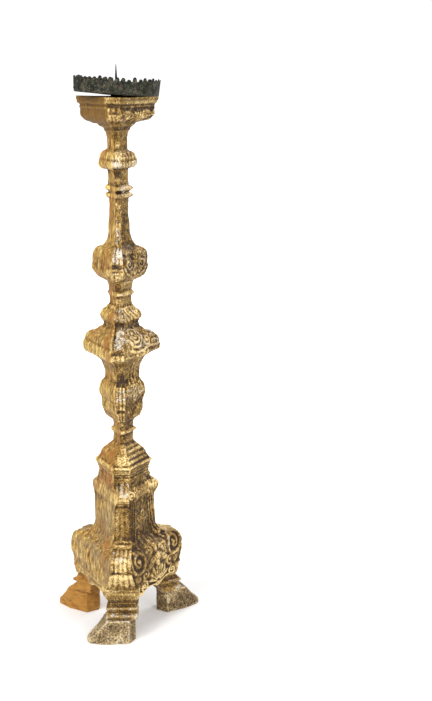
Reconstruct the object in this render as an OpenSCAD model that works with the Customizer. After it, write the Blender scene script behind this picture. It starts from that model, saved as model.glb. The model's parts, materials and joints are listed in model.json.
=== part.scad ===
// Torchere candle stand: a tall three-cornered pricket stand of carved and gilded
// wood with a loose sheet-metal drip pan.
// The stand faces -Y. Its plain, uncarved side faces +Y, towards the wall.
// Corners stand at -90 (front), 150 (left) and 30 (right) degrees about the stem.

/* [Feet] */
// Distance from the stem's axis to the tip of a toe
toe_reach = 150; // [140:1:170]
// Distance from the stem's axis to the inner end of a foot
heel_reach = 62; // [60:1:66]
// Height of a foot block
foot_h = 45; // [38:1:60]
// Width of a foot block
foot_w = 44; // [38:1:48]
// Height of the foot at the tip of the toe
toe_h = 10; // [7:1:20]
// Length of the rounding at the tip of the toe
toe_round = 11; // [6:1:16]
// Length of the flat top of a foot, from its inner end to where it slopes down
foot_top = 53; // [46:1:60]
// Width of a foot at its toe, as a share of its full width
toe_share = 0.72; // [0.55:0.01:0.9]
// Turn of the left foot, which was put back askew
left_foot_turn = -85; // [-90:1:-70]
// Distance from the stem's axis to the centreline of the askew foot
askew_reach = 85; // [81:1:88]
// Length of the askew foot to the right of the ankle's middle
askew_heel = 24; // [20:1:30]

/* [Ankles] */
// Height of an ankle block
ankle_h = 58; // [46:1:70]
// Width of an ankle block
ankle_w = 50; // [44:1:54]
// Distance from the stem's axis to the inner face of an ankle
ankle_in = 60; // [56:1:64]
// Distance from the stem's axis to the ankle's smooth band
ankle_out = 89; // [86:1:94]
// How far the ankle's two beads stand out from the band
ankle_bead = 13; // [8:0.5:15]
// How far the beads stand out at the sides
side_bead = 3; // [1:0.5:4]
// How far an ankle flares out at the sides under the base
ankle_flare = 5; // [2:0.5:6]

/* [Base] */
// Height of the carved base block
base_h = 178; // [160:1:210]
// Corner distance at the bottom of the base
base_foot_c = 100; // [95:0.5:103]
// Corner distance at the belly of the base
base_belly_c = 108.4; // [100:0.2:118]
// Corner distance at the waist of the base
base_waist_c = 55.3; // [52:0.1:58]
// Corner distance at the scroll tips near the top of the base
base_scroll_c = 64.3; // [60:0.1:68]
// Thickness of the apron boards
apron_t = 14; // [10:1:18]
// Drop of the aprons below the base block
apron_drop = 21; // [18:0.5:21]
// Rise of the two arches under an apron
apron_rise = 8; // [3:0.5:12]
// Distance from the stem's axis to the glue face of a corner block
corner_glue = 60; // [59:0.5:64]

/* [Base carving] */
// Depth of the carved ground between the main forms
carve_depth = 3.5; // [2:0.25:4.5]
// Width of the plain border along a corner strip
carve_border = 4; // [3:0.5:6]
// Radius of the two large scrolls on a carved side
volute_r = 27; // [22:0.5:28]
// Distance of a scroll from the middle of the side
volute_out = 56; // [50:0.5:58]
// Height of the scrolls' middles above the underside of the base
volute_up = 44; // [40:0.5:50]
// Width of the outer ribs that climb from the scrolls to the waist
rib_w = 9; // [6:0.5:10]
// Half the width of the leaf in the middle
leaf_half = 13; // [9:0.5:15]

/* [Plinth cap] */
// Height of the cap between base and shaft
cap_h = 64; // [58:1:80]
// Corner distance at the hollow under the cap
cap_hollow_c = 42.8; // [38:0.2:46]
// Corner distance at the cap's edge moulding
cap_edge_c = 50.5; // [48:0.5:58]
// Height of the cap's edge moulding
cap_edge_h = 7; // [5:0.5:10]

/* [Shafts] */
// Corner distance at the slim necks
neck_c = 17; // [16:0.5:19]
// Height of the lower shaft, from cap to scroll block
lower_h = 151; // [130:1:170]
// Corner distance at the leaf bulb of the lower shaft
bulb_c = 42; // [38:0.5:46]
// Corner distance at the waist above the bulb
waist_c = 32; // [30:0.5:34]
// Height of the middle shaft, between cushion and baluster
middle_h = 41; // [34:1:54]
// Height of the upper shaft, between collar and capital
upper_h = 87; // [76:1:100]
// Corner distance at the knop of the upper shaft
knop_c = 35; // [30:0.5:40]
// Height of the knop
knop_h = 31; // [24:1:34]
// How far a ring stands out from its neck
ring_out = 8; // [5:0.5:10]
// Height of one ring
ring_h = 11; // [8:0.5:12]

/* [Scroll block and cushion] */
// Height of the scroll block
scroll_h = 62; // [54:1:72]
// Corner distance at the tips of its scrolls
scroll_c = 72; // [66:0.5:78]
// Height of the cushion above it
cushion_h = 38; // [32:1:46]
// Corner distance at the cushion
cushion_c = 36.5; // [34:0.5:42]

/* [Baluster and collar] */
// Height of the pear-shaped baluster
pear_h = 135; // [116:1:150]
// Corner distance at the baluster's belly
pear_c = 50.5; // [44:0.5:56]
// Height of the collar with two rings
collar_h = 33; // [31:1:42]

/* [Capital] */
// Height of the capital without its top board
capital_h = 50; // [48:1:60]
// Corner distance at the capital's side
capital_c = 66; // [60:0.5:70]
// Thickness of the top board
board_t = 4.6; // [4:0.2:8]
// Corner distance at the edge of the top board
board_c = 73.6; // [71:0.2:76]

/* [Corner strips] */
// Width of the corner strips at the bottom of the base
strip_base_w = 54; // [48:1:58]
// Width of the corner strips at the belly of the base
strip_belly_w = 43; // [38:1:48]
// Width of the corner strips at the base's waist
strip_waist_w = 27; // [24:1:32]
// Width of the corner strips at the necks
strip_neck_w = 11; // [9:0.5:13]
// Width of the corner strips at swellings, scrolls and capital
strip_swell_w = 25; // [21:1:29]

/* [Back] */
// Thickness of the glued stave at the waist of the lower shaft
stave_t = 6; // [4:0.5:7]
// How far the plain back lies inside the carved sides
back_inset = 1.5; // [0.5:0.25:2]

/* [Dowels] */
// Radius of the dowels between the stem's sections
dowel_r = 5; // [4:0.25:6.5]
// Depth of a dowel in each section
dowel_depth = 14; // [10:1:16]
// Depth of the dowel in the capital, under the pricket's shank
cap_dowel_depth = 6; // [4:0.5:8]
// Radius of the dowels in the feet
foot_dowel_r = 6; // [4:0.5:8]
// Depth of a foot dowel in hoof and base block
foot_dowel_depth = 22; // [14:1:28]
// Distance from the stem's axis to the foot dowels
foot_dowel_reach = 79; // [77:0.5:80]

/* [Drip pan] */
// Outer radius of the pan at its rim
pan_r = 74; // [72:1:80]
// How much narrower the pan's floor is than its rim
pan_flare = 3; // [1:0.5:4]
// Height of the rim band up to the valleys between its lobes
rim_h = 20; // [15:1:28]
// Height of the pan's own upturned edge
wall_h = 12; // [10:0.5:13]
// Thickness of the sheet metal
sheet_t = 1.2; // [0.8:0.1:1.6]
// Gap between the pan's edge and the rim band round it
lap_gap = 0.1; // [0.05:0.05:0.3]
// Number of lobes that the rim was cut into
lobe_count = 44; // [36:1:52]
// Height of a lobe above the valleys
lobe_h = 9; // [7:0.5:11]
// Width of a lobe
lobe_w = 7.8; // [6:0.1:8.2]
// Number of rivets in the rim band
rivet_count = 6; // [4:1:10]
// Radius of a rivet's head
rivet_r = 2.2; // [1.8:0.1:3]
// Radius of a rivet's shank
rivet_shank_r = 1.1; // [0.8:0.1:1.4]
// Tilt of the loose pan as it rests
pan_tilt = 3.5; // [2:0.25:4.5]
// Direction in which the pan leans down
pan_lean = -120; // [-150:1:-90]
// Gap that is left under the resting pan
seat_gap = 0.3; // [0.1:0.05:0.6]

/* [Pricket] */
// Height of the spike above the top board
spike_h = 53.4; // [45:0.2:70]
// Radius of the spike's round shank
spike_r = 2.5; // [2:0.1:3]
// Length of the shank that shows above the board before the spike tapers
shank_up = 14; // [12:0.5:18]
// Height of the shank's lower end above the capital's underside
shank_floor = 10; // [9:0.5:20]
// Radius of the spike's blunted tip
tip_r = 0.4; // [0.2:0.1:0.8]
// Radius of the wide hole cut in the pan's floor
pan_hole_r = 7; // [5:0.5:8]
// Radius of the hole in the washer
washer_hole_r = 4; // [3.7:0.1:5]
// Outer radius of the washer under the pan
washer_r = 10; // [8:0.5:14]

/* [Hidden] */

gilt = "goldenrod";
worn = "darkkhaki";
ochre = "burlywood";
bare_wood = "peru";
sheet_metal = "dimgray";
iron = "#3a3634";

// Directions of the corners and sides about the stem
front = -90;
left = 150;
right = 30;
plain_side = 90;
left_side = 210;
right_side = -30;
facet = 40;

// Levels, from the floor up. Each section stands on the one below.
z_ankle = foot_h;
z_base = z_ankle + ankle_h;
z_cap = z_base + base_h;
z_lower = z_cap + cap_h;
z_scroll = z_lower + lower_h;
z_cushion = z_scroll + scroll_h;
z_middle = z_cushion + cushion_h;
z_pear = z_middle + middle_h;
z_collar = z_pear + pear_h;
z_upper = z_collar + collar_h;
z_capital = z_upper + upper_h;
z_board = z_capital + capital_h;
z_seat = z_board + board_t;

// Half of the silhouette that a corner makes, for a corner distance and a strip width
function side_reach(c, w) = c * cos(30) + w / 4;

// The origin lies on the floor in the middle of the stand's outline. The belly
// reaches furthest to the left, the right toe to the right, the front toe forwards
// and the askew toe backwards.
foot_len = toe_reach - heel_reach;
askew_dir = left + left_foot_turn;
toe_half = toe_share * foot_w / 2;
// How far a toe whose tip is at distance reach extends in a direction a off its own
function toe_extent(reach, a) = (reach - toe_round) * cos(a)
    + norm([toe_round * cos(a), toe_half * sin(a)]);
back_y = askew_reach * sin(left) + toe_extent(foot_len - askew_heel, 90 - askew_dir);
axis_x = (side_reach(base_belly_c, strip_belly_w) - toe_extent(toe_reach, right)) / 2;
axis_y = (toe_reach - back_y) / 2;
// Longer than anything reaches from the axis, for cuts that go right through
far = 2 * toe_reach;

// The tilted pan's centre, high enough for its underside to clear the top board
floor_r = pan_r - pan_flare;
pan_z = z_seat + seat_gap + floor_r * tan(pan_tilt);
washer_t = pan_z - z_seat - seat_gap - washer_r * tan(pan_tilt);

// ---- outline curves, as points [distance from the axis, height] ----

// Bulge: leaves level and ends upright
function swell(a, b, n = 5) = [for (i = [0:n]) let (t = 90 * i / n)
    [a[0] + (b[0] - a[0]) * sin(t), a[1] + (b[1] - a[1]) * (1 - cos(t))]];
// Hollow: leaves upright and ends level
function hollow(a, b, n = 5) = [for (i = [0:n]) let (t = 90 * i / n)
    [a[0] + (b[0] - a[0]) * (1 - cos(t)), a[1] + (b[1] - a[1]) * sin(t)]];
// Double curve, upright at both ends
function ogee(a, b, n = 6) = [for (i = [0:n])
    [a[0] + (b[0] - a[0]) * (1 - cos(180 * i / n)) / 2, a[1] + (b[1] - a[1]) * i / n]];
// Half-round ring of height h that stands out from r
function ring(r, out, z, h, n = 6) = [for (i = [0:n])
    [r + out * sin(180 * i / n), z + h * i / n]];
// The same outline without points that coincide
function tidy(l) = [for (i = [0:len(l) - 1])
    if (i == 0 || norm(l[i] - l[max(i - 1, 0)]) > 0.1) l[i]];
// The first and the last point alone, for a straight line between them
function ends(l) = [l[0], l[len(l) - 1]];

// Width of the corner strips by height
strip_w = [
    [z_base, strip_base_w],
    [z_base + 0.15 * base_h, strip_belly_w],
    [z_base + 0.6 * base_h, strip_waist_w],
    [z_cap + 0.5 * cap_h, strip_waist_w + 4],
    [z_lower, strip_neck_w],
    [z_lower + 0.2 * lower_h, strip_neck_w],
    [z_lower + 0.6 * lower_h, strip_swell_w - 4],
    [z_lower + 0.85 * lower_h, strip_neck_w + 4],
    [z_scroll + 0.3 * scroll_h, strip_swell_w],
    [z_cushion, strip_neck_w + 7],
    [z_cushion + 0.4 * cushion_h, strip_swell_w - 2],
    [z_middle, strip_neck_w + 1],
    [z_pear, strip_neck_w + 4],
    [z_pear + 0.2 * pear_h, strip_swell_w],
    [z_pear + 0.5 * pear_h, strip_neck_w + 3],
    [z_collar, strip_neck_w],
    [z_collar + 0.5 * collar_h, strip_neck_w + 3],
    [z_upper, strip_neck_w],
    [z_upper + 0.35 * upper_h, strip_neck_w + 5],
    [z_upper + 0.6 * upper_h, strip_neck_w],
    [z_capital, strip_neck_w + 2],
    [z_capital + 0.5 * capital_h, strip_swell_w],
    [z_seat, strip_swell_w]];

// Distance of the flat sides that leaves a corner strip of the right width
function side_at(c, z) = (c + lookup(z, strip_w) * cos(30)) / 2;
function side_of(corner) = [for (p = corner) [side_at(p[0], p[1]), p[1]]];
// The plain back, a little inside the carved sides
function back_of(corner) = [for (p = side_of(corner)) [p[0] - back_inset, p[1]]];

// ---- outlines of the sections, at the corners ----

base_corner = tidy(concat(
    ogee([base_foot_c, z_base], [base_belly_c, z_base + 0.15 * base_h]),
    hollow([base_belly_c, z_base + 0.2 * base_h],
        [base_belly_c * 0.86, z_base + 0.32 * base_h]),
    swell([base_belly_c * 0.82, z_base + 0.33 * base_h],
        [base_waist_c, z_base + 0.49 * base_h], 6),
    ogee([base_waist_c, z_base + 0.75 * base_h],
        [base_scroll_c, z_base + 0.84 * base_h], 4),
    ogee([base_scroll_c, z_base + 0.88 * base_h],
        [cap_hollow_c + 3, z_base + 0.97 * base_h], 4),
    [[cap_hollow_c + 3, z_cap]]));

cap_corner = tidy(concat(
    [[cap_hollow_c + 3, z_cap]],
    ogee([cap_hollow_c, z_cap + 0.1 * cap_h], [cap_edge_c - 3, z_cap + 0.32 * cap_h], 5),
    ring(cap_edge_c - 3, 3, z_cap + 0.34 * cap_h, cap_edge_h, 5),
    [[cap_edge_c - 5, z_cap + 0.37 * cap_h + cap_edge_h]],
    [[cap_edge_c * 0.76, z_cap + 0.7 * cap_h], [neck_c + 1, z_lower]]));

lower_corner = tidy(concat(
    [[neck_c + 1, z_lower]],
    ring(neck_c + 1, ring_out - 2, z_lower + 0.1 * lower_h, ring_h),
    [[neck_c + 2, z_lower + 0.24 * lower_h]],
    swell([neck_c + 6, z_lower + 0.26 * lower_h], [bulb_c - 4, z_lower + 0.42 * lower_h]),
    [[bulb_c - 5, z_lower + 0.475 * lower_h]],
    ring(bulb_c - 5, 5, z_lower + 0.48 * lower_h, 0.24 * lower_h),
    hollow([waist_c, z_lower + 0.77 * lower_h], [waist_c + 12, z_scroll])));

scroll_corner = tidy(concat(
    ogee([waist_c + 12, z_scroll], [scroll_c, z_scroll + 0.22 * scroll_h]),
    hollow([scroll_c, z_scroll + 0.38 * scroll_h],
        [scroll_c * 0.66, z_scroll + 0.76 * scroll_h]),
    ogee([scroll_c * 0.6, z_scroll + 0.8 * scroll_h], [cushion_c - 6, z_cushion], 4)));

cushion_corner = tidy(concat(
    [[cushion_c - 6, z_cushion]],
    ring(cushion_c - 6, 6, z_cushion + 0.1 * cushion_h, 0.62 * cushion_h),
    ogee([cushion_c - 11, z_cushion + 0.76 * cushion_h], [neck_c + 2, z_middle], 4)));

middle_corner = tidy(concat(
    [[neck_c + 2, z_middle]],
    ring(neck_c + 1.5, ring_out - 2.5, z_middle + 0.3 * middle_h, ring_h),
    ogee([neck_c + 2, z_middle + 0.7 * middle_h], [neck_c + 7, z_pear], 4)));

pear_corner = tidy(concat(
    swell([neck_c + 10, z_pear], [pear_c, z_pear + 0.14 * pear_h]),
    hollow([pear_c, z_pear + 0.3 * pear_h], [pear_c * 0.72, z_pear + 0.42 * pear_h]),
    swell([pear_c * 0.66, z_pear + 0.43 * pear_h], [neck_c + 2, z_pear + 0.66 * pear_h], 6),
    [[neck_c, z_pear + 0.8 * pear_h], [neck_c - 0.5, z_collar]]));

collar_corner = tidy(concat(
    [[neck_c - 0.5, z_collar]],
    ring(neck_c, ring_out, z_collar + 0.15 * collar_h, ring_h),
    ring(neck_c + 1, ring_out - 0.5, z_collar + 0.18 * collar_h + ring_h, ring_h),
    [[neck_c, z_upper]]));

knop_z = z_upper + 0.25 * upper_h;
upper_corner = tidy(concat(
    [[neck_c, z_upper], [neck_c, knop_z]],
    swell([neck_c + 5, knop_z + 1], [knop_c, knop_z + 0.28 * knop_h], 4),
    hollow([knop_c, knop_z + 0.36 * knop_h], [neck_c + 5, knop_z + knop_h], 4),
    [[neck_c, knop_z + knop_h + 3], [neck_c - 0.5, z_upper + 0.84 * upper_h]],
    [[neck_c + 3, z_capital]]));

capital_corner = tidy(concat(
    ogee([neck_c + 3, z_capital], [capital_c * 0.5, z_capital + 0.24 * capital_h], 3),
    swell([capital_c * 0.82, z_capital + 0.31 * capital_h],
        [capital_c, z_capital + 0.56 * capital_h]),
    ogee([capital_c, z_capital + 0.76 * capital_h], [board_c - 1, z_board], 4)));

board_corner = [
    [board_c - 1, z_board],
    [board_c, z_board + 0.35 * board_t],
    [board_c, z_board + 0.75 * board_t],
    [board_c - 1, z_seat]];

// The base's plain back has no scroll tips near its top
base_back = concat(
    [for (p = back_of(base_corner)) if (p[1] < z_base + 0.76 * base_h) p],
    [[side_at(cap_hollow_c + 3, z_cap) - back_inset, z_cap]]);
// The lower shaft's plain back has no ring on its neck
neck_side = side_at(neck_c + 1, z_lower) - back_inset;
lower_back = concat(
    [[neck_side, z_lower], [neck_side, z_lower + 0.25 * lower_h]],
    [for (p = back_of(lower_corner)) if (p[1] > z_lower + 0.28 * lower_h) p]);

// ---- shared shapes ----

// Everything inside one outline, on the side that faces direction a
module slab(a, outline) {
    z0 = outline[0][1];
    z1 = outline[len(outline) - 1][1];
    rotate([0, 0, a]) rotate([90, 0, 0])
        linear_extrude(height = 2 * far, center = true)
            polygon(concat([[-far, z0]], outline, [[-far, z1]]));
}

// Three-cornered section: two carved sides, the plain back and three corner strips
module three_sided(corner, back) {
    side = side_of(corner);
    intersection() {
        slab(front, corner);
        slab(left, corner);
        slab(right, corner);
        slab(left_side, side);
        slab(right_side, side);
        slab(plain_side, back);
    }
}

// Straight-sided bore from height z0 to z1, on the axis
module bore(z0, z1, r) {
    translate([0, 0, z0]) cylinder(r = r, h = z1 - z0, $fn = facet);
}

// Blind dowel holes in the bottom and the top of a section
module hole_below(z, depth = dowel_depth) {
    bore(z - 1, z + depth, dowel_r);
}

module hole_above(z) {
    bore(z - dowel_depth, z + 1, dowel_r);
}

// Puts a part onto the stem's axis
module on_axis() {
    translate([axis_x, axis_y, 0]) children();
}

// ---- the drip pan ----

// Puts a part into the tilted pan's own frame, its underside's centre at the origin
module in_pan() {
    translate([axis_x, axis_y, pan_z]) rotate([0, 0, pan_lean]) rotate([0, pan_tilt, 0])
        children();
}

rim_top = rim_h + lobe_h;
rivet_z = 0.55 * wall_h;
// Radius of the rim band's outer face at height h above the pan's underside
function band_r(h) = floor_r + pan_flare * h / rim_top;

// Rivets stand square to the flared band
module rivet_places() {
    for (i = [0:rivet_count - 1])
        rotate([0, 0, (i + 0.25) * 360 / rivet_count])
            translate([band_r(rivet_z), 0, rivet_z])
                rotate([0, 90 + atan(pan_flare / rim_top), 0]) children();
}

module rivet_holes() {
    depth = 4 * sheet_t;
    rivet_places() translate([0, 0, -depth])
        cylinder(r = rivet_shank_r + lap_gap, h = 2 * depth, $fn = 20);
}

module drip_pan() {
    inset = sheet_t + lap_gap;
    color(sheet_metal) in_pan() difference() {
        rotate_extrude($fn = 96) polygon([
            [pan_hole_r, 0],
            [floor_r - inset, 0],
            [band_r(wall_h) - inset, wall_h],
            [band_r(wall_h) - inset - sheet_t, wall_h],
            [floor_r - inset - sheet_t, sheet_t],
            [pan_hole_r, sheet_t]]);
        rivet_holes();
    }
}

// One lobe: a round-topped tongue that points outwards
module lobe_tool() {
    reach = pan_flare + 3 * sheet_t;
    translate([floor_r - 2 * sheet_t, 0, 0]) rotate([90, 0, 90]) {
        translate([-lobe_w / 2, -1]) cube([lobe_w, rim_top - lobe_w / 2 + 1, reach]);
        translate([0, rim_top - lobe_w / 2, 0]) cylinder(d = lobe_w, h = reach, $fn = 24);
    }
}

// Band with a lobed upper edge round the pan, some of whose lobes are broken off
module pan_rim() {
    pitch = 360 / lobe_count;
    far_side = floor(lobe_count / 2);
    broken = [7, far_side - 2, far_side - 1, far_side, lobe_count - 9];
    color(sheet_metal) in_pan() difference() {
        intersection() {
            rotate_extrude($fn = 96) polygon([
                [floor_r - sheet_t, 0],
                [floor_r, 0],
                [pan_r, rim_top],
                [pan_r - sheet_t, rim_top]]);
            union() {
                translate([0, 0, -1]) cylinder(r = pan_r + sheet_t, h = rim_h + 1, $fn = 96);
                for (i = [0:lobe_count - 1])
                    if (len(search(i, broken)) == 0)
                        rotate([0, 0, (i + 0.5) * pitch]) lobe_tool();
            }
        }
        rivet_holes();
    }
}

// Rivets with a head outside the band and a flat one inside the pan
module rim_rivets() {
    grip = 2 * sheet_t + 3 * lap_gap;
    inner_h = 0.5 * sheet_t;
    outer_h = 0.5 * rivet_r;
    color(iron) in_pan() rivet_places() {
        translate([0, 0, lap_gap])
            cylinder(r1 = rivet_r, r2 = 0.55 * rivet_r, h = outer_h, $fn = 20);
        translate([0, 0, -grip - inner_h])
            cylinder(r = rivet_shank_r, h = grip + inner_h + 2 * lap_gap, $fn = 20);
        translate([0, 0, -grip - inner_h])
            cylinder(r = 0.8 * rivet_r, h = inner_h, $fn = 20);
    }
}

// ---- pricket, washer and top ----

z_shank = z_capital + shank_floor;

module pan_washer() {
    color(iron) on_axis() translate([0, 0, z_seat]) difference() {
        cylinder(r = washer_r, h = washer_t, $fn = facet);
        translate([0, 0, -1]) cylinder(r = washer_hole_r, h = washer_t + 2, $fn = facet);
    }
}

module pricket() {
    color(iron) on_axis() rotate_extrude($fn = facet) polygon([
        [0, z_shank],
        [spike_r, z_shank],
        [spike_r, z_seat + shank_up],
        [tip_r, z_seat + spike_h],
        [0, z_seat + spike_h]]);
}

module shank_hole() {
    bore(z_shank, z_seat + 1, spike_r);
}

module top_board() {
    color(gilt) on_axis() difference() {
        three_sided(board_corner, back_of(board_corner));
        shank_hole();
    }
}

// ---- stem ----

module capital() {
    color(gilt) on_axis() difference() {
        three_sided(capital_corner, back_of(capital_corner));
        hole_below(z_capital, cap_dowel_depth);
        shank_hole();
    }
}

module upper_shaft() {
    color(gilt) on_axis() difference() {
        three_sided(upper_corner, back_of(upper_corner));
        hole_below(z_upper);
        hole_above(z_capital);
    }
}

module ring_collar() {
    color(gilt) on_axis() difference() {
        three_sided(collar_corner, ends(back_of(collar_corner)));
        bore(z_collar - 1, z_upper + 1, dowel_r);
    }
}

module pear_baluster() {
    color(gilt) on_axis() difference() {
        three_sided(pear_corner, back_of(pear_corner));
        hole_below(z_pear);
        hole_above(z_collar);
    }
}

module middle_shaft() {
    color(gilt) on_axis() difference() {
        three_sided(middle_corner, ends(back_of(middle_corner)));
        bore(z_middle - 1, z_pear + 1, dowel_r);
    }
}

module cushion() {
    color(gilt) on_axis() difference() {
        three_sided(cushion_corner, back_of(cushion_corner));
        bore(z_cushion - 1, z_middle + 1, dowel_r);
    }
}

// The stave's glue face lies stave_t inside the plain back at the shaft's waist
stave_y = side_at(waist_c, z_lower + 0.8 * lower_h) - back_inset - stave_t;
stave_z = z_lower + 0.46 * lower_h;

module stave_cut() {
    translate([-far, stave_y, stave_z]) cube([2 * far, far, z_cushion - stave_z + 1]);
}

module lower_block() {
    three_sided(lower_corner, lower_back);
}

module scroll_solid() {
    three_sided(scroll_corner, back_of(scroll_corner));
}

module scroll_block() {
    color(gilt) on_axis() difference() {
        scroll_solid();
        stave_cut();
        hole_below(z_scroll);
        hole_above(z_cushion);
    }
}

module lower_shaft() {
    color(gilt) on_axis() difference() {
        lower_block();
        stave_cut();
        hole_below(z_lower);
        hole_above(z_scroll);
    }
}

// One board, carved through from the lower shaft to the scroll block
module back_stave() {
    color(ochre) on_axis() intersection() {
        three_sided(tidy(concat(lower_corner, scroll_corner)),
            tidy(concat(lower_back, back_of(scroll_corner))));
        stave_cut();
    }
}

module plinth_cap() {
    color(gilt) on_axis() difference() {
        three_sided(cap_corner, back_of(cap_corner));
        hole_below(z_cap);
        hole_above(z_lower);
    }
}

// Dowels in one row up the stem: [lower end, upper end]
dowel_ends = [
    [z_cap - dowel_depth, z_cap + dowel_depth],
    [z_lower - dowel_depth, z_lower + dowel_depth],
    [z_scroll - dowel_depth, z_scroll + dowel_depth],
    [z_cushion - dowel_depth, z_pear + dowel_depth],
    [z_collar - dowel_depth, z_upper + dowel_depth],
    [z_capital - dowel_depth, z_capital + cap_dowel_depth]];

module stem_dowels() {
    color(bare_wood) on_axis() for (e = dowel_ends) bore(e[0], e[1], dowel_r);
}

// ---- base ----

// The space of one glued-on corner block
module corner_cut(a) {
    rotate([0, 0, a]) translate([corner_glue, -far, z_base - 1])
        cube([far, 2 * far, 0.7 * base_h + 1]);
}

// Where a carved side of the base meets the corner strips, from the side's middle
function side_half(z) = lookup(z, [for (p = base_corner) [p[1], p[0]]]) * sin(60)
    - lookup(z, strip_w) / 2 * cos(60);

carve_low = z_base + 0.12 * base_h;
carve_high = z_base + 0.78 * base_h;
volute_z = z_base + volute_up;

// The field that is carved on one half of a side, seen square on
module carved_field() {
    steps = 8;
    polygon(concat(
        [[-1, carve_low]],
        [for (i = [0:steps]) let (z = carve_low + (carve_high - carve_low) * i / steps)
            [side_half(z) - carve_border, z]],
        [[-1, carve_high]]));
}

// Band of width w along a line of points
module rib(line, w) {
    polygon(concat(
        [for (p = line) [p[0] + w / 2, p[1]]],
        [for (i = [len(line) - 1:-1:0]) [line[i][0] - w / 2, line[i][1]]]));
}

// The forms that stay raised on one half: scroll, two ribs and half a leaf
module main_forms() {
    rib_low = volute_z + volute_r;
    rib_high = carve_high + 1;
    translate([volute_out, volute_z]) circle(r = volute_r, $fn = 48);
    rib(swell([volute_out - 0.3 * volute_r, rib_low - 2], [2.6 * rib_w, rib_high], 4), rib_w);
    rib(swell([volute_out - volute_r, rib_low - 6], [1.2 * rib_w, rib_high], 4), 0.6 * rib_w);
    polygon([
        [-1, carve_low - 1],
        [0.5 * leaf_half, carve_low - 1],
        [leaf_half, volute_z],
        [0.6 * leaf_half, rib_low - 6],
        [0, rib_low + 0.6 * volute_r],
        [-1, rib_low + 0.6 * volute_r]]);
}

// The ground of the carved sides follows every other point of their outline
carved_ground = [for (i = [0:2:len(base_corner) - 1]) let (p = base_corner[i])
    [side_at(p[0], p[1]) - carve_depth, p[1]]];

// What is carved away on the side that faces direction a
module carved_away(a) {
    difference() {
        rotate([0, 0, a]) rotate([90, 0, 90]) linear_extrude(height = far)
            for (half = [0, 1]) mirror([half, 0]) difference() {
                carved_field();
                main_forms();
            }
        slab(a, carved_ground);
    }
}

module base_solid() {
    difference() {
        three_sided(base_corner, base_back);
        carved_away(left_side);
        carved_away(right_side);
    }
}

// Dowel through an ankle, up into the base and down into the hoof
module foot_dowel(a) {
    rotate([0, 0, a]) translate([foot_dowel_reach, 0, 0])
        bore(z_ankle - foot_dowel_depth, z_base + foot_dowel_depth, foot_dowel_r);
}

module base_core() {
    color(gilt) on_axis() difference() {
        base_solid();
        for (a = [front, left, right]) corner_cut(a);
        hole_above(z_cap);
    }
}

module base_corner_block(a) {
    color(gilt) on_axis() difference() {
        intersection() {
            base_solid();
            corner_cut(a);
        }
        foot_dowel(a);
    }
}

// Board with two arches under one side of the base, between two ankles
module apron(a, tone, inset = 0) {
    face = side_at(base_foot_c, z_base) - inset;
    top_w = ankle_w + 2 * ankle_flare;
    half_span = ankle_out * sin(60) - top_w / 2 * cos(60);
    half_arch = 0.42 * half_span;
    arch_r = (half_arch * half_arch + apron_rise * apron_rise) / (2 * apron_rise);
    low = z_base - apron_drop;
    color(tone) on_axis() difference() {
        rotate([0, 0, a]) translate([face - apron_t, -far, low])
            cube([apron_t, 2 * far, apron_drop]);
        for (y = [-half_span / 2, half_span / 2])
            rotate([0, 0, a]) translate([0, y, low + apron_rise - arch_r]) rotate([0, 90, 0])
                cylinder(r = arch_r, h = far, $fn = 96);
        // Its ends lie against the ankles' flanks, and stop flush with their fronts
        for (b = [a - 60, a + 60]) rotate([0, 0, b]) {
            translate([ankle_in, -top_w / 2, low - 1])
                cube([far, top_w, apron_drop + 2]);
            translate([ankle_out, -far, low - 1]) cube([far, 2 * far, apron_drop + 2]);
        }
    }
}

// ---- feet ----

// Ankle: a block with two beads, a hollow band and fillets, along direction a
ankle_face = [
    [ankle_out + ankle_bead - 2, z_ankle],
    [ankle_out + ankle_bead, z_ankle + 0.07 * ankle_h],
    [ankle_out + ankle_bead - 1, z_ankle + 0.14 * ankle_h],
    [ankle_out + 0.45 * ankle_bead, z_ankle + 0.16 * ankle_h],
    [ankle_out + 0.45 * ankle_bead, z_ankle + 0.28 * ankle_h],
    [ankle_out + ankle_bead - 1, z_ankle + 0.31 * ankle_h],
    [ankle_out + ankle_bead - 1, z_ankle + 0.39 * ankle_h],
    [ankle_out + 0.4 * ankle_bead, z_ankle + 0.41 * ankle_h],
    [ankle_out + 0.4 * ankle_bead, z_ankle + 0.5 * ankle_h],
    [ankle_out, z_ankle + 0.51 * ankle_h],
    [ankle_out + 1, z_ankle + 0.6 * ankle_h],
    [ankle_out + 5, z_ankle + 0.74 * ankle_h],
    [ankle_out + 5, z_ankle + 0.85 * ankle_h],
    [ankle_out + 7, z_ankle + 0.87 * ankle_h],
    [ankle_out + 7, z_base]];
ankle_flank = [
    [ankle_w / 2 + side_bead, z_ankle],
    [ankle_w / 2 + side_bead, z_ankle + 0.14 * ankle_h],
    [ankle_w / 2 + 0.3 * side_bead, z_ankle + 0.16 * ankle_h],
    [ankle_w / 2 + 0.3 * side_bead, z_ankle + 0.28 * ankle_h],
    [ankle_w / 2 + side_bead, z_ankle + 0.31 * ankle_h],
    [ankle_w / 2 + side_bead, z_ankle + 0.39 * ankle_h],
    [ankle_w / 2, z_ankle + 0.41 * ankle_h],
    [ankle_w / 2, z_ankle + 0.51 * ankle_h],
    [ankle_w / 2 + ankle_flare, z_ankle + 0.63 * ankle_h],
    [ankle_w / 2 + ankle_flare, z_base]];

module ankle(a, tone) {
    color(tone) on_axis() difference() {
        intersection() {
            slab(a, ankle_face);
            slab(a + 90, ankle_flank);
            slab(a - 90, ankle_flank);
            rotate([0, 0, a]) translate([ankle_in, -far, 0]) cube([far, 2 * far, z_base]);
        }
        foot_dowel(a);
    }
}

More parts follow.
